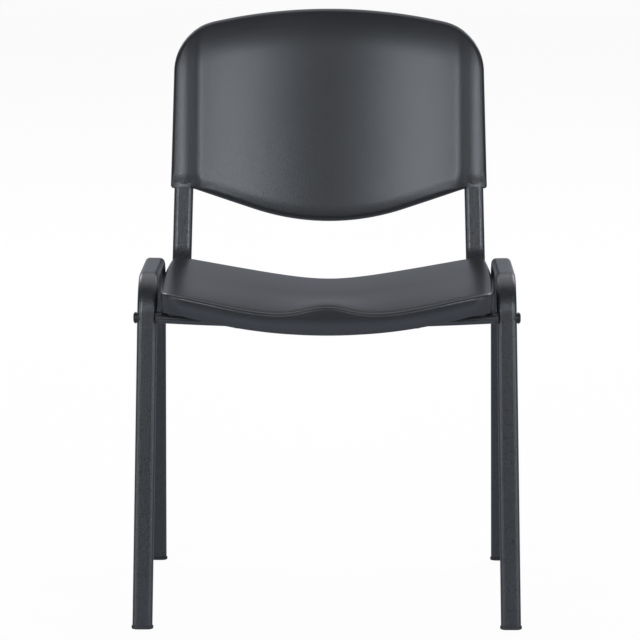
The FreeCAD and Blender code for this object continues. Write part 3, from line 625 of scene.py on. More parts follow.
def trim_below(mesh, height):
    """Cuts a mesh off at a height and closes the cut."""
    work = bmesh.new()
    work.from_mesh(mesh)
    everything = work.verts[:] + work.edges[:] + work.faces[:]
    cut = bmesh.ops.bisect_plane(work, geom=everything, plane_co=(0, 0, height), plane_no=(0, 0, 1),
                                 clear_inner=True)
    rim = [e for e in cut["geom_cut"] if isinstance(e, bmesh.types.BMEdge)]
    bmesh.ops.holes_fill(work, edges=rim)
    work.to_mesh(mesh)
    work.free()
    tidy_mesh(mesh)


def tube_piece(name, mesh, node):
    """Piece of coated tube, whose flat faces stay flat beside its rounds."""
    item = piece(name, mesh, COAT, "frame_coat", node)
    modifier = item.modifiers.new("even_flats", "WEIGHTED_NORMAL")
    modifier.keep_sharp = True


# Leg hoops

FOOT = {"front": Vector((0, 0, 0)), "rear": Vector((0, FOOT_SPACING_Y, 0))}
LEG_WAY = {"front": Vector((0, tan(FRONT_LEG_LEAN), 1)), "rear": Vector((0, tan(-REAR_LEG_LEAN), 1))}
LEG_RUN = {end: way.y / cos(LEG_SPLAY) for end, way in LEG_WAY.items()}


def hoop_points():
    """Centre line of a hoop in its own plane, run on below the floor for trimming."""
    front_corner = LEG_WAY["front"] * HOOP_HEIGHT
    top_run = Vector((0, 1, -tan(HOOP_TOP_SLOPE)))
    rear_way = LEG_WAY["rear"]
    gap = FOOT_SPACING_Y - front_corner.y
    run = (gap + HOOP_HEIGHT * rear_way.y) / (1 - rear_way.y * top_run.z)
    rear_corner = front_corner + top_run * run
    below = -2 * TUBE_WIDTH
    return [LEG_WAY["front"] * below, front_corner, rear_corner, FOOT["rear"] + rear_way * below]


def hoop_place(side):
    tilt = Matrix.Rotation(math.radians(-side * LEG_SPLAY), 4, "Y")
    return Matrix.Translation((side * FOOT_SPACING_X / 2, 0, 0)) @ tilt


def leg_centre(side, end, height):
    x = side * (FOOT_SPACING_X / 2 - height * tan(LEG_SPLAY))
    y = FOOT[end].y + LEG_RUN[end] * height
    return Vector((x, y, height))


def leg_hoop(name, side):
    mesh = tube_mesh(rounded_path(hoop_points(), HOOP_BEND), hoop_place(side))
    trim_below(mesh, FOOT_FLANGE)
    tube_piece(f"{name}_leg_tube", mesh, f"{name}_leg_hoop")


# Cross bars

def bar_end_height(end):
    if end == "front":
        return BAR_END_HEIGHT
    slope = tan(FRAME_SLOPE)
    span = FOOT_SPACING_Y + (LEG_RUN["rear"] - LEG_RUN["front"]) * BAR_END_HEIGHT
    return BAR_END_HEIGHT - slope * span / (1 + slope * LEG_RUN["rear"])


def bar_y(end):
    return leg_centre(1, end, bar_end_height(end)).y


def bar_centre(end, x):
    radius = bow_radius(BAR_LENGTH / 2, BAR_BOW)
    low = bar_end_height(end) - BAR_BOW
    return Vector((x, bar_y(end), low + arc_rise(radius, x)))


def cross_bar(end):
    path = [bar_centre(end, x) for x in steps(-BAR_LENGTH / 2, BAR_LENGTH / 2, BAR_STEPS)]
    tube_piece(f"{end}_bar_tube", tube_mesh(path, Matrix()), f"{end}_cross_bar")


# Seat-back tubes

def rail_x(y):
    return RAIL_SPACING / 2 - (RAIL_CORNER - y) * tan(RAIL_TOE)


def rail_rest(end):
    flat = TUBE_FLAT / 2
    bar = bar_centre(end, rail_x(bar_y(end)) + flat)
    return bar.z + TUBE_DEPTH + WELD_GAP - flat * sin(UPRIGHT_TOE) + flat * tan(FRAME_SLOPE)


def rail_height(y):
    front = bar_y("front")
    slope = (rail_rest("rear") - rail_rest("front")) / (bar_y("rear") - front)
    return rail_rest("front") + slope * (y - front)


def rail_point(y):
    return Vector((0, y, rail_height(y)))


CORNER = rail_point(RAIL_CORNER)


def turn_about(point, degrees, axis):
    turn = Matrix.Rotation(math.radians(degrees), 4, axis)
    return Matrix.Translation(point) @ turn @ Matrix.Translation(-point)


def rail_place(side):
    tilt = turn_about(rail_point(bar_y("front")), -side * UPRIGHT_TOE, "Y")
    toe = turn_about(CORNER, -side * RAIL_TOE, "Z")
    return Matrix.Translation((side * RAIL_SPACING / 2, 0, 0)) @ toe @ tilt


def seat_back_tube(name, side):
    points = [rail_point(RAIL_FRONT), CORNER, CORNER + UPRIGHT_WAY * UPRIGHT_LENGTH]
    mesh = tube_mesh(rounded_path(points, UPRIGHT_BEND), rail_place(side))
    tube_piece(f"{name}_rail_and_upright", mesh, f"{name}_seat_back_tube")


# Outlines

def circles_meet(a, ra, b, rb, near):
    """The crossing of two circles that is nearest to a point."""
    gap = b - a
    d = np.linalg.norm(gap)
    along = (ra ** 2 - rb ** 2 + d ** 2) / (2 * d)
    across = math.sqrt(max(ra ** 2 - along ** 2, 0.0))
    way = gap / d
    normal = np.array((-way[1], way[0]))
    options = [a + way * along + normal * across, a + way * along - normal * across]
    return min(options, key=lambda p: np.linalg.norm(p - near))


def arc_points(hub, radius, start, end, count):
    """Points and inward normals on an arc between two points, the short way round."""
    first = math.atan2(*(start - hub)[::-1])
    last = math.atan2(*(end - hub)[::-1])
    sweep = (last - first + math.pi) % (2 * math.pi) - math.pi
    angles = first + sweep * steps(0, 1, count)[:-1]
    out = np.stack((np.cos(angles), np.sin(angles)), axis=1)
    return hub + out * radius, -out


def coons(low, right, high, left):
    """Smooth grid inside four rows of points: low and high run along u, right and left along v."""
    u = np.linspace(0, 1, len(low))[None, :, None]
    v = np.linspace(0, 1, len(right))[:, None, None]
    ruled_u = (1 - v) * low[None] + v * high[None]
    ruled_v = (1 - u) * left[:, None] + u * right[:, None]
    corners = ((1 - u) * (1 - v) * low[0] + u * (1 - v) * low[-1]
               + (1 - u) * v * high[0] + u * v * high[-1])
    return ruled_u + ruled_v - corners


def split_ring(points, columns, rows):
    """The four boundary rows of a ring that starts at the low left corner."""
    closed = np.concatenate((points, points[:1]))
    low = closed[:columns + 1]
    right = closed[columns:columns + rows + 1]
    high = closed[columns + rows:2 * columns + rows + 1][::-1]
    left = closed[2 * columns + rows:][::-1]
    return low, right, high, left


def patch_faces(ring, columns, rows, inner):
    """Faces of a grid whose edge is a ring of points, given the index of each inner point."""
    index = np.zeros((rows + 1, columns + 1), int)
    index[0], index[:, -1], index[-1], index[:, 0] = split_ring(ring, columns, rows)
    index[1:-1, 1:-1] = inner
    cells = [(r, c) for r in range(rows) for c in range(columns)]
    return [(index[r, c], index[r, c + 1], index[r + 1, c + 1], index[r + 1, c]) for r, c in cells]


def moulded_shell(rings, columns, rows, first_depth, last_depth):
    """Closed shell from rings of points, with a patch inside the first ring and one inside the last.

    Rings hold plan points and a third value, which each patch takes from a function of its points."""
    points = [p for ring in rings for p in ring]
    faces = grid_faces(rings)
    count = len(rings[0])
    for ring_index, depth in ((0, first_depth), (len(rings) - 1, last_depth)):
        plan = np.array(rings[ring_index])[:, :2]
        grid = coons(*split_ring(plan, columns, rows))[1:-1, 1:-1]
        start = len(points)
        flat = grid.reshape(-1, 2)
        height = depth(flat[:, 0], flat[:, 1])
        points += list(np.column_stack((flat, height)))
        inner = start + np.arange(len(flat)).reshape(rows - 1, columns - 1)
        ring = ring_index * count + np.arange(count)
        faces += patch_faces(ring, columns, rows, inner)
    return points, faces


# Seat

def seat_height(x, y):
    """Top of the seat: a saddle with two thigh hollows and a pommel at the front, a dish behind."""
    x = np.abs(x)
    thigh = FRONT_SIDE_RISE * smooth_step((x - FRONT_DIP_START) / FRONT_DIP_SPAN)
    front = LIP_HEIGHT + FRONT_DIP_RISE + thigh + POMMEL_RISE * np.exp(-(x / POMMEL_WIDTH) ** 2)
    rear = LIP_HEIGHT + REAR_RISE + np.hypot(REAR_FLANK_ROUND, REAR_FLANK_SLOPE * x) - REAR_FLANK_ROUND
    blend = smooth_step((y - SADDLE_BLEND_START) / SADDLE_BLEND_SPAN)
    front_y = SEAT_FRONT + SEAT_FRONT_CURVE * (2 * x / SEAT_WIDTH) ** 2
    front_roll = FRONT_ROLL_DROP * roll_off(y - front_y, FRONT_ROLL_SPAN)
    side_roll = SIDE_ROLL_DROP * roll_off(SEAT_WIDTH / 2 - x, SIDE_ROLL_SPAN)
    return front + (rear - front) * blend - front_roll - side_roll


def seat_under(x, y):
    return seat_height(x, y) - SEAT_WALL


def seat_corner(end, side, near):
    """Arc that joins an end and a side, each a hub and a radius: its hub, ends and middle."""
    hub = circles_meet(end[0], end[1] - SEAT_CORNER, side[0], side[1] - SEAT_CORNER, near)
    on_end = end[0] + unit(hub - end[0]) * end[1]
    on_side = side[0] + unit(hub - side[0]) * side[1]
    middle = hub + unit(on_end + on_side - 2 * hub) * SEAT_CORNER
    return hub, on_end, on_side, middle


def seat_outline():
    """Plan points and inward normals, from the middle of the front left corner round by the front."""
    waist = SEAT_WIDTH / 2 - SEAT_SIDE_BOW
    front_mid = np.array((0, SEAT_FRONT))
    rear_mid = np.array((0, SEAT_FRONT + SEAT_DEPTH))
    front_side = np.array((waist, SEAT_FRONT + SEAT_FRONT_CURVE))
    rear_side = np.array((waist, rear_mid[1] - SEAT_REAR_CURVE))
    front_r = bow_radius(waist, SEAT_FRONT_CURVE)
    rear_r = bow_radius(waist, SEAT_REAR_CURVE)
    side_r = bow_radius((rear_side[1] - front_side[1]) / 2, SEAT_SIDE_BOW)
    front = (front_mid + (0, front_r), front_r)
    rear = (rear_mid - (0, rear_r), rear_r)
    side = ((front_side + rear_side) / 2 + (SEAT_SIDE_BOW - side_r, 0), side_r)
    f_hub, f_end, f_side, f_mid = seat_corner(front, side, front_side)
    r_hub, r_end, r_side, r_mid = seat_corner(rear, side, rear_side)
    right = [
        (*front, front_mid, f_end, SEAT_END_STEPS),
        (f_hub, SEAT_CORNER, f_end, f_mid, SEAT_CORNER_STEPS),
        (f_hub, SEAT_CORNER, f_mid, f_side, SEAT_CORNER_STEPS),
        (*side, f_side, r_side, SEAT_SIDE_STEPS),
        (r_hub, SEAT_CORNER, r_side, r_mid, SEAT_CORNER_STEPS),
        (r_hub, SEAT_CORNER, r_mid, r_end, SEAT_CORNER_STEPS),
        (*rear, r_end, rear_mid, SEAT_END_STEPS),
    ]
    left = [(hub * MIRROR, radius, end * MIRROR, start * MIRROR, count)
            for hub, radius, start, end, count in reversed(right)]
    parts = [arc_points(*run) for run in left[-2:] + right + left[:-2]]
    return [np.concatenate(rows) for rows in zip(*parts)]


def tube_centre_height(y):
    """Height of a seat-back tube's centre line along its rail and the start of its bend."""
    turn = math.radians(90 - UPRIGHT_LEAN - FRAME_SLOPE)
    start = RAIL_CORNER - UPRIGHT_BEND * math.tan(turn / 2)
    past = np.clip(y - start, 0.0, UPRIGHT_BEND * UPRIGHT_BEND_SHARE)
    return rail_height(y) + arc_rise(UPRIGHT_BEND, past)


def skirt_height(x, y):
    """Lower edge of the skirt, lowest in the middle and arched over the tubes at the rear corners."""
    lip = LIP_HEIGHT + arc_rise(bow_radius(LIP_HALF_SPAN, LIP_DROP), x)
    edge = (lip + SKIRT_HEIGHT - np.hypot(lip - SKIRT_HEIGHT, LIP_BLEND)) / 2
    aside = np.maximum(0.0, np.abs(np.abs(x) - rail_x(y)) - TUBE_FLAT / 2)
    grown = TUBE_DEPTH / 2 + TUBE_ROOM
    arch = tube_centre_height(y) + np.sqrt(np.maximum(0.0, grown ** 2 - aside ** 2))
    near = (aside < grown) & (y > bar_y("rear"))
    return np.where(near, np.maximum(edge, arch), edge)


def seat_rings():
    """Rings from the flat of the top over the edge, down the skirt and up its inside."""
    plan, normal = seat_outline()
    front_share = smooth_step(normal[:, 1])
    rings = []

    def ring(inset, height):
        spot = plan + normal * np.reshape(inset, (-1, 1))
        rings.append(np.column_stack((spot, height(*spot.T) if callable(height) else height)))

    def tuck(height):
        span = np.minimum(SKIRT_TUCK_SPAN, top - brim)
        return front_share * SKIRT_TUCK * span / SKIRT_TUCK_SPAN * roll_off(height - brim, span)

    for inset in steps(SEAT_FLAT_INSET, SEAT_EDGE, SEAT_FLAT_ROWS)[:-1]:
        ring(inset, seat_height)
    for drop, out in round_off(SEAT_EDGE_ROWS):
        ring(SEAT_EDGE * (1 - out), lambda x, y: seat_height(x, y) - SEAT_EDGE * drop)
    top = rings[-1][:, 2]
    hem = SKIRT_WALL / 2
    brim = skirt_height(*plan.T) + hem
    for part in steps(0, 1, SKIRT_ROWS)[1:]:
        height = top + (brim - top) * part
        ring(tuck(height), height)
    for across, down in round_off(HEM_ROWS, math.pi)[1:]:
        ring(tuck(brim) + hem * across, brim - hem * down)
    inner_r = SEAT_EDGE - SKIRT_WALL
    roof = np.maximum(brim, seat_under(*(plan + normal * SKIRT_WALL).T) - inner_r)
    for part in steps(0, 1, LINER_ROWS)[1:]:
        height = brim + (roof - brim) * part
        ring(SKIRT_WALL + tuck(height), height)
    for across, up in round_off(FILLET_ROWS)[1:]:
        ring(SKIRT_WALL + inner_r * across, lambda x, y: roof + (seat_under(x, y) - roof) * up)
    for inset in steps(SEAT_EDGE, SEAT_FLAT_INSET, SEAT_UNDER_ROWS)[1:]:
        ring(inset, seat_under)
    return rings


def seat_roof(x, y):
    """Middle of the seat's wall, where the bodies under it end."""
    return float(seat_height(x, y)) - SEAT_WALL / 2


def rib_rows(y):
    """Rows of a rib across the seat, tapered in its depth and fading at its ends."""
    thin = RIB_WALL / 2
    tip = thin * RIB_TAPER
    rows = []
    for x in steps(-RIB_HALF_SPAN, RIB_HALF_SPAN, RIB_STEPS):
        roof = seat_roof(x, y)
        fade = min(1.0, (RIB_HALF_SPAN - abs(x)) / RIB_FADE)
        foot = roof - SEAT_WALL / 2 - RIB_DEPTH * math.sin(fade * math.pi / 2)
        rows.append([(x, y - thin, roof), (x, y - tip, foot), (x, y + tip, foot), (x, y + thin, roof)])
    return rows


def add_post(points, faces, low):
    """Adds a body that stands between a low loop of points and the seat."""
    add_body(points, faces, [low, [Vector((p.x, p.y, seat_roof(p.x, p.y))) for p in low]])


def seat_underside(points, faces):
    """Adds ribs, rail pads and screw bosses under the seat, let into its wall."""
    middle = (bar_y("front") + bar_y("rear")) / 2
    for k in range(RIB_COUNT):
        add_body(points, faces, rib_rows(middle + (k - (RIB_COUNT - 1) / 2) * RIB_SPACING))
    for side in SIDES.values():
        pad = []
        for across, along in ((-1, -1), (1, -1), (1, 1), (-1, 1)):
            aside = Vector((across * PAD_WIDTH / 2, 0, TUBE_DEPTH / 2 + WELD_GAP))
            pad.append(rail_place(side) @ (rail_point(middle + along * PAD_LENGTH / 2) + aside))
        add_post(points, faces, pad)
        for end in ENDS:
            foot = bar_centre(end, side * BOSS_SPACING / 2) + Vector((0, 0, TUBE_DEPTH / 2 + BOSS_GAP))
            around = steps(0, 2 * math.pi, BOSS_STEPS)[:-1]
            loop = [Vector((math.cos(a), math.sin(a), 0)) * (BOSS_DIAMETER / 2) for a in around]
            add_post(points, faces, [foot + spot for spot in loop])


def seat_shell():
    points, faces = moulded_shell(seat_rings(), SEAT_COLUMNS, SEAT_ROWS, seat_height, seat_under)
    seat_underside(points, faces)
    piece("seat", mesh_from("seat", points, faces), PLASTIC, "shell_plastic", "seat_shell")


# Backrest

def back_side_x(height):
    return BACK_WIDTH / 2 - (height - BAND_BOTTOM) * tan(BACK_SIDE_TAPER)


def shoulder_hub():
    """Centre of a top corner's arc, one radius inside the tapering side and inside the top arc."""
    slope = tan(BACK_SIDE_TAPER)
    reach = back_side_x(TOP_HUB) - BACK_CORNER / cos(BACK_SIDE_TAPER)
    square = (1 + slope ** 2) * (BACK_TOP_RADIUS - BACK_CORNER) ** 2 - reach ** 2
    rise = (reach * slope + math.sqrt(square)) / (1 + slope ** 2)
    return np.array((reach - slope * rise, TOP_HUB + rise))


SHOULDER = shoulder_hub()
SHOULDER_TURN = math.atan2(SHOULDER[1] - TOP_HUB, SHOULDER[0])


def dense_line(start, end):
    """Points along a line, a short step apart."""
    return start + (end - start) * steps(0, 1, int(np.linalg.norm(end - start) / EDGE_STEP))[:, None]


def blended_corner(before, corner, after):
    """Dense row of points from one end to the other, round a corner blended by an arc."""
    inward = unit(before - corner)
    onward = unit(after - corner)
    half = math.acos(inward @ onward) / 2
    hub = corner + unit(inward + onward) * (FLANK_BLEND / math.sin(half))
    start = corner + inward * (FLANK_BLEND / math.tan(half))
    end = corner + onward * (FLANK_BLEND / math.tan(half))
    arc = arc_points(hub, FLANK_BLEND, start, end, BLEND_STEPS)[0]
    return np.concatenate((dense_line(before, start)[:-1], arc, dense_line(end, after)))


def back_low_edge():
    """Right half of the lower edge, from the middle to the side, as a dense row of points."""
    angles = np.radians(steps(0, BACK_FLANK_ANGLE, LOW_ARC_STEPS))
    rise = BACK_LOW_RADIUS * (1 - np.cos(angles))
    arc = np.column_stack((BACK_LOW_RADIUS * np.sin(angles), BACK_LOWEST + rise))
    flank_x = arc[-1, 0] + (BAND_BOTTOM - arc[-1, 1]) / tan(BACK_FLANK_ANGLE)
    flank = np.array((flank_x, BAND_BOTTOM))
    side = np.array((back_side_x(BAND_BOTTOM), BAND_BOTTOM))
    return np.concatenate((arc[:-1], blended_corner(arc[-1], flank, side)))


LOW_EDGE = back_low_edge()


def back_outline():
    """Outline points from the low left corner round by the bottom."""
    turn = steps(math.radians(BACK_SIDE_TAPER), SHOULDER_TURN, BACK_CORNER_STEPS)
    shoulder = SHOULDER + BACK_CORNER * np.column_stack((np.cos(turn), np.sin(turn)))
    turn = steps(SHOULDER_TURN, math.pi / 2, BACK_TOP_STEPS)[1:]
    top = np.column_stack((BACK_TOP_RADIUS * np.cos(turn), TOP_HUB + BACK_TOP_RADIUS * np.sin(turn)))
    right_top = np.concatenate((shoulder, top))
    low_x = right_top[:, 0] / right_top[0, 0] * LOW_EDGE[-1, 0]
    right_low = np.column_stack((low_x, np.interp(low_x, LOW_EDGE[:, 0], LOW_EDGE[:, 1])))
    bottom = np.concatenate((right_low[:-1] * MIRROR, right_low[::-1]))
    crest = np.concatenate((right_top, right_top[::-1][1:] * MIRROR))
    side = steps(0, 1, BACK_SIDE_STEPS)[1:-1, None]
    right = bottom[-1] + (crest[0] - bottom[-1]) * side
    left = crest[-1] + (bottom[0] - crest[-1]) * side
    return np.concatenate((bottom, right, crest, left))


def outline_normals(plan):
    """Inward mitre normals of a closed row of points that runs anticlockwise."""
    ahead = unit(np.roll(plan, -1, axis=0) - plan)
    inward = np.column_stack((-ahead[:, 1], ahead[:, 0]))
    both = unit(inward + np.roll(inward, 1, axis=0))
    return both / np.sum(both * inward, axis=1)[:, None]


def across_depth(x):
    """Depth of the front across the backrest: a hollow panel between crowned bands."""
    x = np.abs(x)
    reach = PANEL_RADIUS + CROWN_RADIUS
    meet = CROWN * PANEL_RADIUS / reach
    panel = BAND_FRONT + arc_rise(reach, CROWN) - arc_rise(PANEL_RADIUS, np.minimum(x, meet))
    crown = BAND_FRONT + arc_rise(CROWN_RADIUS, np.clip(CROWN - x, 0.0, CROWN - meet))
    past = np.maximum(0.0, x - CROWN - BAND_FLAT)
    band = crown + past ** 2 / (2 * BAND_FALL_RADIUS)
    return np.where(x < meet, panel, band)


def top_roll(x, z):
    """Depth by which the front rolls back towards the top edge, fading out round the corners."""
    x = np.abs(x)
    aside, above = x - SHOULDER[0], z - SHOULDER[1]
    on_top = np.arctan2(z - TOP_HUB, x) >= SHOULDER_TURN
    turn = np.clip(np.arctan2(above, aside) / SHOULDER_TURN, 0.0, 1.0)
    share = np.where(on_top, 1.0, np.sin(turn * np.pi / 2) ** 2)
    from_top = BACK_TOP_RADIUS - np.hypot(x, z - TOP_HUB)
    inside = np.where(on_top, from_top, BACK_CORNER - np.hypot(aside, above))
    return TOP_ROLL_DROP * share * roll_off(inside, TOP_ROLL_SPAN)


def lip_set_back(x, z):
    """Depth of the narrow band along the lower edge: a soft step, then a roll towards the edge."""
    edge = np.interp(np.abs(x), LOW_EDGE[:, 0], LOW_EDGE[:, 1])
    above = (z - edge) * cos(BACK_FLANK_ANGLE / 2)
    step = LIP_STEP * (1 - smooth_step((above - LIP_BAND + LIP_STEP_SPAN) / LIP_STEP_SPAN))
    return step + LIP_ROLL * roll_off(above, LIP_ROLL_SPAN)


def back_depth(x, z):
    """Depth of the backrest's front surface."""
    return across_depth(x) + top_roll(x, z) + lip_set_back(x, z)


def rear_depth(x, z):
    """Depth of the skin's back, which follows the front without its lip."""
    return across_depth(x) + top_roll(x, z) + PANEL_WALL


def to_back(x, height, depth):
    """Point given by its width, height along the uprights and depth."""
    return CORNER + Vector((x, 0, 0)) + UPRIGHT_WAY * height + UPRIGHT_BACK * depth


def round_band_corners(bottom, radius):
    """Lifts the ends of a lower edge into quarter rounds."""
    gap = np.clip(np.abs(bottom[0, 0]) - np.abs(bottom[:, 0]), 0.0, radius)
    bottom[:, 1] += arc_rise(radius, radius - gap)


def edge_radius(x, z):
    """Radius of the front edge, small under the bands, where the tubes come out."""
    up = smooth_step((z - BAND_BOTTOM) / BAND_EDGE_BLEND)
    inward = smooth_step((CROWN - np.abs(x)) / BAND_EDGE_BLEND)
    return BAND_EDGE + (BACK_EDGE - BAND_EDGE) * np.maximum(up, inward)


def back_rings():
    """Rings from the front over the edge, back along the flange and into its inside."""
    plan = back_outline()
    normal = outline_normals(plan)
    rings = []

    def ring(inset, depth, shift=0.0):
        spot = plan + normal * np.reshape(inset, (-1, 1))
        round_band_corners(spot[:BACK_COLUMNS + 1], max(BAND_CORNER - float(np.min(inset)), 0.0))
        rings.append(np.column_stack((spot, depth(*spot.T) + shift if callable(depth) else depth)))

    radius = edge_radius(*plan.T)
    for back, out in round_off(BACK_EDGE_ROWS):
        ring(radius * (1 - out), back_depth, radius * back)
    hem = PANEL_WALL / 2
    edge = rear_depth(*plan.T) - PANEL_WALL
    start = rings[-1][:, 2]
    brim = edge + BACK_FLANGE - hem
    for part in steps(0, 1, FLANGE_ROWS)[1:]:
        ring(0.0, start + (brim - start) * part)
    for across, back in round_off(HEM_ROWS, math.pi)[1:]:
        ring(hem * across, brim + hem * back)
    floor = rear_depth(*(plan + normal * PANEL_WALL).T)
    for part in steps(0, 1, FLANGE_ROWS)[1:]:
        ring(PANEL_WALL, brim + (floor + FLANGE_FILLET - brim) * part)
    ring(PANEL_WALL + FLANGE_FILLET_INSET, rear_depth, FLANGE_FILLET_INSET)
    ring(BACK_EDGE, rear_depth)
    return rings


def side_reach(height):
    """Half width of the outline at a height, past the start of the shoulder too."""
    above = max(0.0, height - SHOULDER[1] - BACK_CORNER * sin(BACK_SIDE_TAPER))
    return back_side_x(height) - arc_rise(BACK_CORNER, above)


def sleeve_rows(side):
    """Rows of a sleeve round an upright, closed and rounded at the top, let into the band's skin."""
    wall = SLEEVE_CLEARANCE + SLEEVE_WALL
    flat = TUBE_FLAT / 2
    low = BAND_BOTTOM + SLEEVE_LIFT
    levels = [(low, SLEEVE_CHAMFER), (low + SLEEVE_CHAMFER, 0.0)]
    top = SOCKET_TOP + SLEEVE_WALL
    levels += [(h, 0.0) for h in steps(BAND_BOTTOM, top - SLEEVE_EDGE, SLEEVE_ROWS)[1:]]
    for across, up in round_off(FILLET_ROWS)[1:]:
        levels.append((top - SLEEVE_EDGE * (1 - up), SLEEVE_EDGE * across))
    rows = []
    move = rail_place(side)
    for height, inset in levels:
        r = TUBE_DEPTH / 2 + wall - inset
        row = []
        for a in steps(0, 2 * math.pi, ROUND_STEPS)[:-1]:
            aside = math.copysign(flat, math.cos(a)) + r * math.cos(a)
            spot = move @ to_back(aside, height, r * math.sin(a))
            depth = (spot - CORNER).dot(UPRIGHT_BACK)
            level = (spot - CORNER).dot(UPRIGHT_WAY)
            reach = side_reach(level) - PANEL_WALL / 2
            spot.x = side * min(abs(spot.x), reach)
            skin = float(rear_depth(spot.x, level)) - PANEL_WALL / 2
            row.append(spot + UPRIGHT_BACK * max(0.0, skin - depth))
        rows.append(row)
    return rows


def backrest_shell():
    points, faces = moulded_shell(back_rings(), BACK_COLUMNS, BACK_SIDE_STEPS, back_depth, rear_depth)
    points = [to_back(*p) for p in points]
    for side in SIDES.values():
        add_body(points, faces, sleeve_rows(side))
    piece("backrest", mesh_from("backrest", points, faces), PLASTIC, "shell_plastic", "backrest_shell")


# Fasteners

def polar_row(reach, height):
    """Row of points round Z, whose distance from it is a function of the angle."""
    angles = steps(0, 2 * math.pi, ROUND_STEPS)[:-1]
    return [(reach(a) * math.cos(a), reach(a) * math.sin(a), height) for a in angles]


def fastener_model(name, profile, sockets):
    """Turned body with a socket in its head, to be copied to its places."""
    rows = [polar_row(lambda a: radius, height) for radius, height in profile]
    rows += [polar_row(reach, height) for reach, height in sockets]
    points = []
    faces = []
    add_body(points, faces, rows)
    return new_object(name, mesh_from(name, points, faces, FASTENER_SHARP_ANGLE))


def bolt_model():
    """Button head with a key socket, its seat at the origin and its shank below."""
    r = BOLT_HEAD_DIAMETER / 2
    top = BOLT_HEAD_HEIGHT
    rim = top - BOLT_HEAD_ROUND
    shank = BOLT_DIAMETER / 2
    profile = [(shank, -BOLT_SHANK), (shank, 0), (r, 0), (r, rim)]
    for across, up in round_off(BOLT_CROWN_ROWS)[1:]:
        profile.append((r - BOLT_HEAD_ROUND * across, rim + BOLT_HEAD_ROUND * up))
    profile.append((BOLT_SOCKET / 2 / cos(30) + SOCKET_CHAMFER, top))

    def hexagon(angle):
        from_flat = (angle + math.pi / 6) % (math.pi / 3) - math.pi / 6
        return BOLT_SOCKET / 2 / math.cos(from_flat)

    sockets = [(hexagon, top - SOCKET_CHAMFER), (hexagon, top - BOLT_SOCKET_DEPTH)]
    return fastener_model("bolt_model", profile, sockets)


def screw_model(diameter, height, shank, length):
    """Pan head with a cross recess, its seat at the origin and its shank below."""
    r = diameter / 2
    rim = SCREW_RIM * height
    profile = [(shank / 2, -length), (shank / 2, 0), (r, 0), (r, rim)]
    for across, up in round_off(SCREW_CROWN_ROWS)[1:]:
        profile.append((r - SCREW_ROUND * r * across, rim + (height - rim) * up))

    def cross(scale):
        def reach(angle):
            arm = max(abs(math.cos(angle)), abs(math.sin(angle))) ** RECESS_SHARPNESS
            return r * RECESS_SPAN * scale * (RECESS_CORE + (1 - RECESS_CORE) * arm)
        return reach

    levels = (height, height * RECESS_FLOOR)
    sockets = [(cross(scale), level) for scale, level in zip(RECESS_SCALES, levels)]
    return fastener_model("screw_model", profile, sockets)


def fasteners(name, model, places, node):
    """One piece with a copy of a model at each place, aimed along its axis."""
    mesh = bpy.data.meshes.new(name)
    mesh.from_pydata([spot for spot, aim in places], [], [])
    aims = mesh.attributes.new("aim", "FLOAT_VECTOR", "POINT")
    for item, (spot, aim) in zip(aims.data, places):
        item.vector = aim
    made = run_tree(new_object(name, mesh), FASTENER_TREE, fastener=model, material=BLACK_STEEL)
    bpy.data.objects.remove(model)
    made.name = name
    tidy_mesh(made, FASTENER_SHARP_ANGLE)
    piece(name, made, BLACK_STEEL, "fastener", node)


def bolt_seat(side, end):
    """Point under a bolt's head, a washer's crest outside the leg."""
    height = bar_centre(end, BAR_LENGTH / 2 - INSERT_LENGTH / 2).z
    axis = leg_centre(side, end, height)
    return axis + Vector((side * (TUBE_WIDTH / 2 / cos(LEG_SPLAY) + WASHER_CREST), 0, 0))


def all_fasteners():
    corners = [(side, end) for end in ENDS for side in SIDES.values()]
    bolts = [(bolt_seat(side, end), Vector((side, 0, 0))) for side, end in corners]
    fasteners("leg_bolts", bolt_model(), bolts, "frame_bolts")
    down = Vector((0, 0, -1))
    under = [(bar_centre(end, side * BOSS_SPACING / 2) + down * (TUBE_DEPTH / 2 + BOSS_GAP), down)
             for side, end in corners]
    fasteners("bar_screws", screw_model(**SEAT_SCREW), under, "seat_screws")
    behind = []
    for side in SIDES.values():
        move = rail_place(side)
        spot = move @ to_back(0, BACK_SCREW_HEIGHT, WELD_GAP - BAND_FRONT)
        behind.append((spot, move.to_3x3() @ UPRIGHT_BACK))
    fasteners("sleeve_screws", screw_model(**BACK_SCREW), behind, "backrest_screws")


# Fittings that keep their CAD shape

def dress_fittings():
    for end in ENDS:
        for name in SIDES:
            for kind in ("foot", "spacer"):
                dress(f"{end}_{name}_{kind}", FITTING)
    for name in SIDES:
        dress(f"{name}_rail_plug", FITTING)
    dress("saddle_washers", FITTING)
    dress("rail_welds", COAT)
    dress("thread_inserts", BLACK_STEEL)


def dress(node, material):
    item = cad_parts[node]
    item.data.materials.clear()
    item.data.materials.append(material)


# Studio

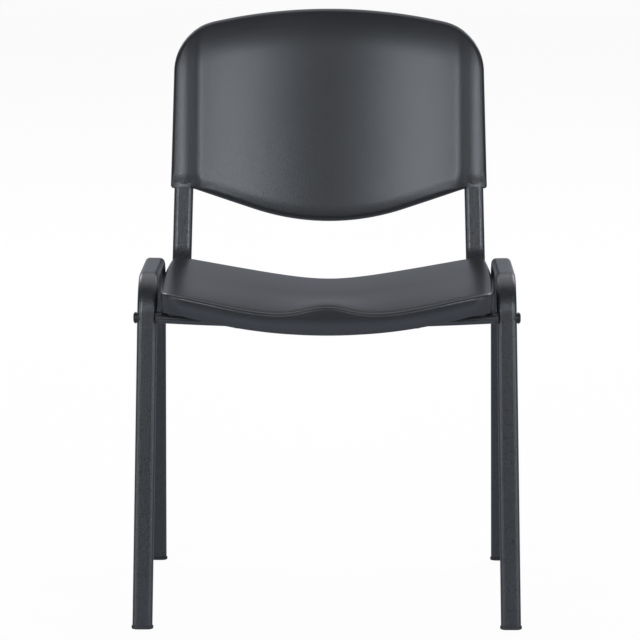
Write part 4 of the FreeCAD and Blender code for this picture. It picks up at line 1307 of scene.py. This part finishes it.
def stage_material():
    """Pale surface that the camera sees close to white. Reflections see a painted reflection instead: it
    glows in a cool tint, fully in a band just in front of the chair, fading to dark farther in front, and
    low under and behind the chair as painted shade of the chair's shadow.
    """
    material = bpy.data.materials.new("pale_floor")
    material.use_nodes = True
    tree = material.node_tree
    tree.nodes.remove(tree.nodes["Principled BSDF"])
    plain = add_node(tree, "ShaderNodeBsdfDiffuse", {"Color": FLOOR_SHADE})
    white = add_node(tree, "ShaderNodeEmission", {"Strength": 1.0})
    place = add_node(tree, "ShaderNodeTexCoord", {})["Object"]
    along = add_node(tree, "ShaderNodeSeparateXYZ", {"Vector": place})["Y"]
    # Painted reflection: glossy rays see an emission whose strength is painted along Y, not the lit floor
    near = value_range(tree, along, 0.0, 1.0, PAINTED_REFLECTION_FADE_END, PAINTED_REFLECTION_FADE_START)
    # Painted highlight band just in front of the chair, then painted shade of the chair's shadow under and
    # behind it
    band_then_shade = value_range(tree, along, PAINTED_BAND_GLOW, PAINTED_SHADE_GLOW, PAINTED_SHADE_RAMP_START, PAINTED_SHADE_RAMP_END)
    painted_glow = product(tree, near, band_then_shade)
    mirror = add_node(tree, "ShaderNodeEmission", {"Color": PAINTED_REFLECTION_TINT, "Strength": painted_glow})
    ray = add_node(tree, "ShaderNodeLightPath", {})
    share = product(tree, ray["Is Camera Ray"], FLOOR_GLOW)
    inputs = {"Fac": ray["Is Glossy Ray"], 1: plain["BSDF"], 2: mirror["Emission"]}
    dull = add_node(tree, "ShaderNodeMixShader", inputs)["Shader"]
    inputs = {"Fac": share, 1: dull, 2: white["Emission"]}
    seen = add_node(tree, "ShaderNodeMixShader", inputs)["Shader"]
    set_inputs(tree, tree.nodes["Material Output"], {"Surface": seen})
    return material


def stage_sheet(name, x, near, far, material):
    mesh = bpy.data.meshes.new(name)
    mesh.from_pydata([(-x, *near), (x, *near), (x, *far), (-x, *far)], [], [(0, 1, 2, 3)])
    mesh.materials.append(material)
    item = new_object(name, mesh)


def softbox(name, place, aim, width, height, power):
    light = bpy.data.lights.new(name, "AREA")
    light.shape = "RECTANGLE"
    light.size = width
    light.size_y = height
    light.energy = power
    item = new_object(name, light)
    item.location = place
    item.rotation_euler = (Vector(aim) - Vector(place)).to_track_quat("-Z", "Y").to_euler()


def studio():
    pale = stage_material()
    for name, sheet in SHEETS.items():
        stage_sheet(name, *sheet, pale)
    world = bpy.data.worlds.new("studio")
    bpy.context.scene.world = world
    world.use_nodes = True
    world.node_tree.nodes["Background"].inputs["Color"].default_value = WORLD_SHADE
    above = (0, CEILING_BACK, CEILING_HEIGHT)
    softbox("ceiling_softbox", above, (0, CEILING_BACK, 0), CEILING_SIZE, CEILING_SIZE, CEILING_POWER)
    for name, side in SIDES.items():
        for kind, (azimuth, height, aim, width, length, power) in SIDE_LAMPS.items():
            place = (side * LAMP_DISTANCE * sin(azimuth), -LAMP_DISTANCE * cos(azimuth), height)
            softbox(f"{name}_{kind}", place, (0, 0, aim), width, length, power)
    bpy.context.scene.view_settings.view_transform = "Standard"


def camera():
    data = bpy.data.cameras.new("camera")
    data.sensor_fit = "HORIZONTAL"
    data.sensor_width = CAMERA_SENSOR
    data.lens = CAMERA_LENS
    data.shift_x = CAMERA_SHIFT_X
    data.shift_y = CAMERA_SHIFT_Y
    data.clip_end = CAMERA_REACH
    item = new_object("camera", data)
    y = FEET_Y - CAMERA_DISTANCE * cos(CAMERA_TURN)
    item.location = (CAMERA_DISTANCE * sin(CAMERA_TURN), y, CAMERA_HEIGHT)
    item.rotation_euler = (math.radians(90 - CAMERA_PITCH), 0, math.radians(CAMERA_TURN))
    bpy.context.scene.camera = item


for side_name, side_sign in SIDES.items():
    leg_hoop(side_name, side_sign)
    seat_back_tube(side_name, side_sign)
for bar_end in ENDS:
    cross_bar(bar_end)
seat_shell()
backrest_shell()
all_fasteners()
dress_fittings()
studio()
camera()
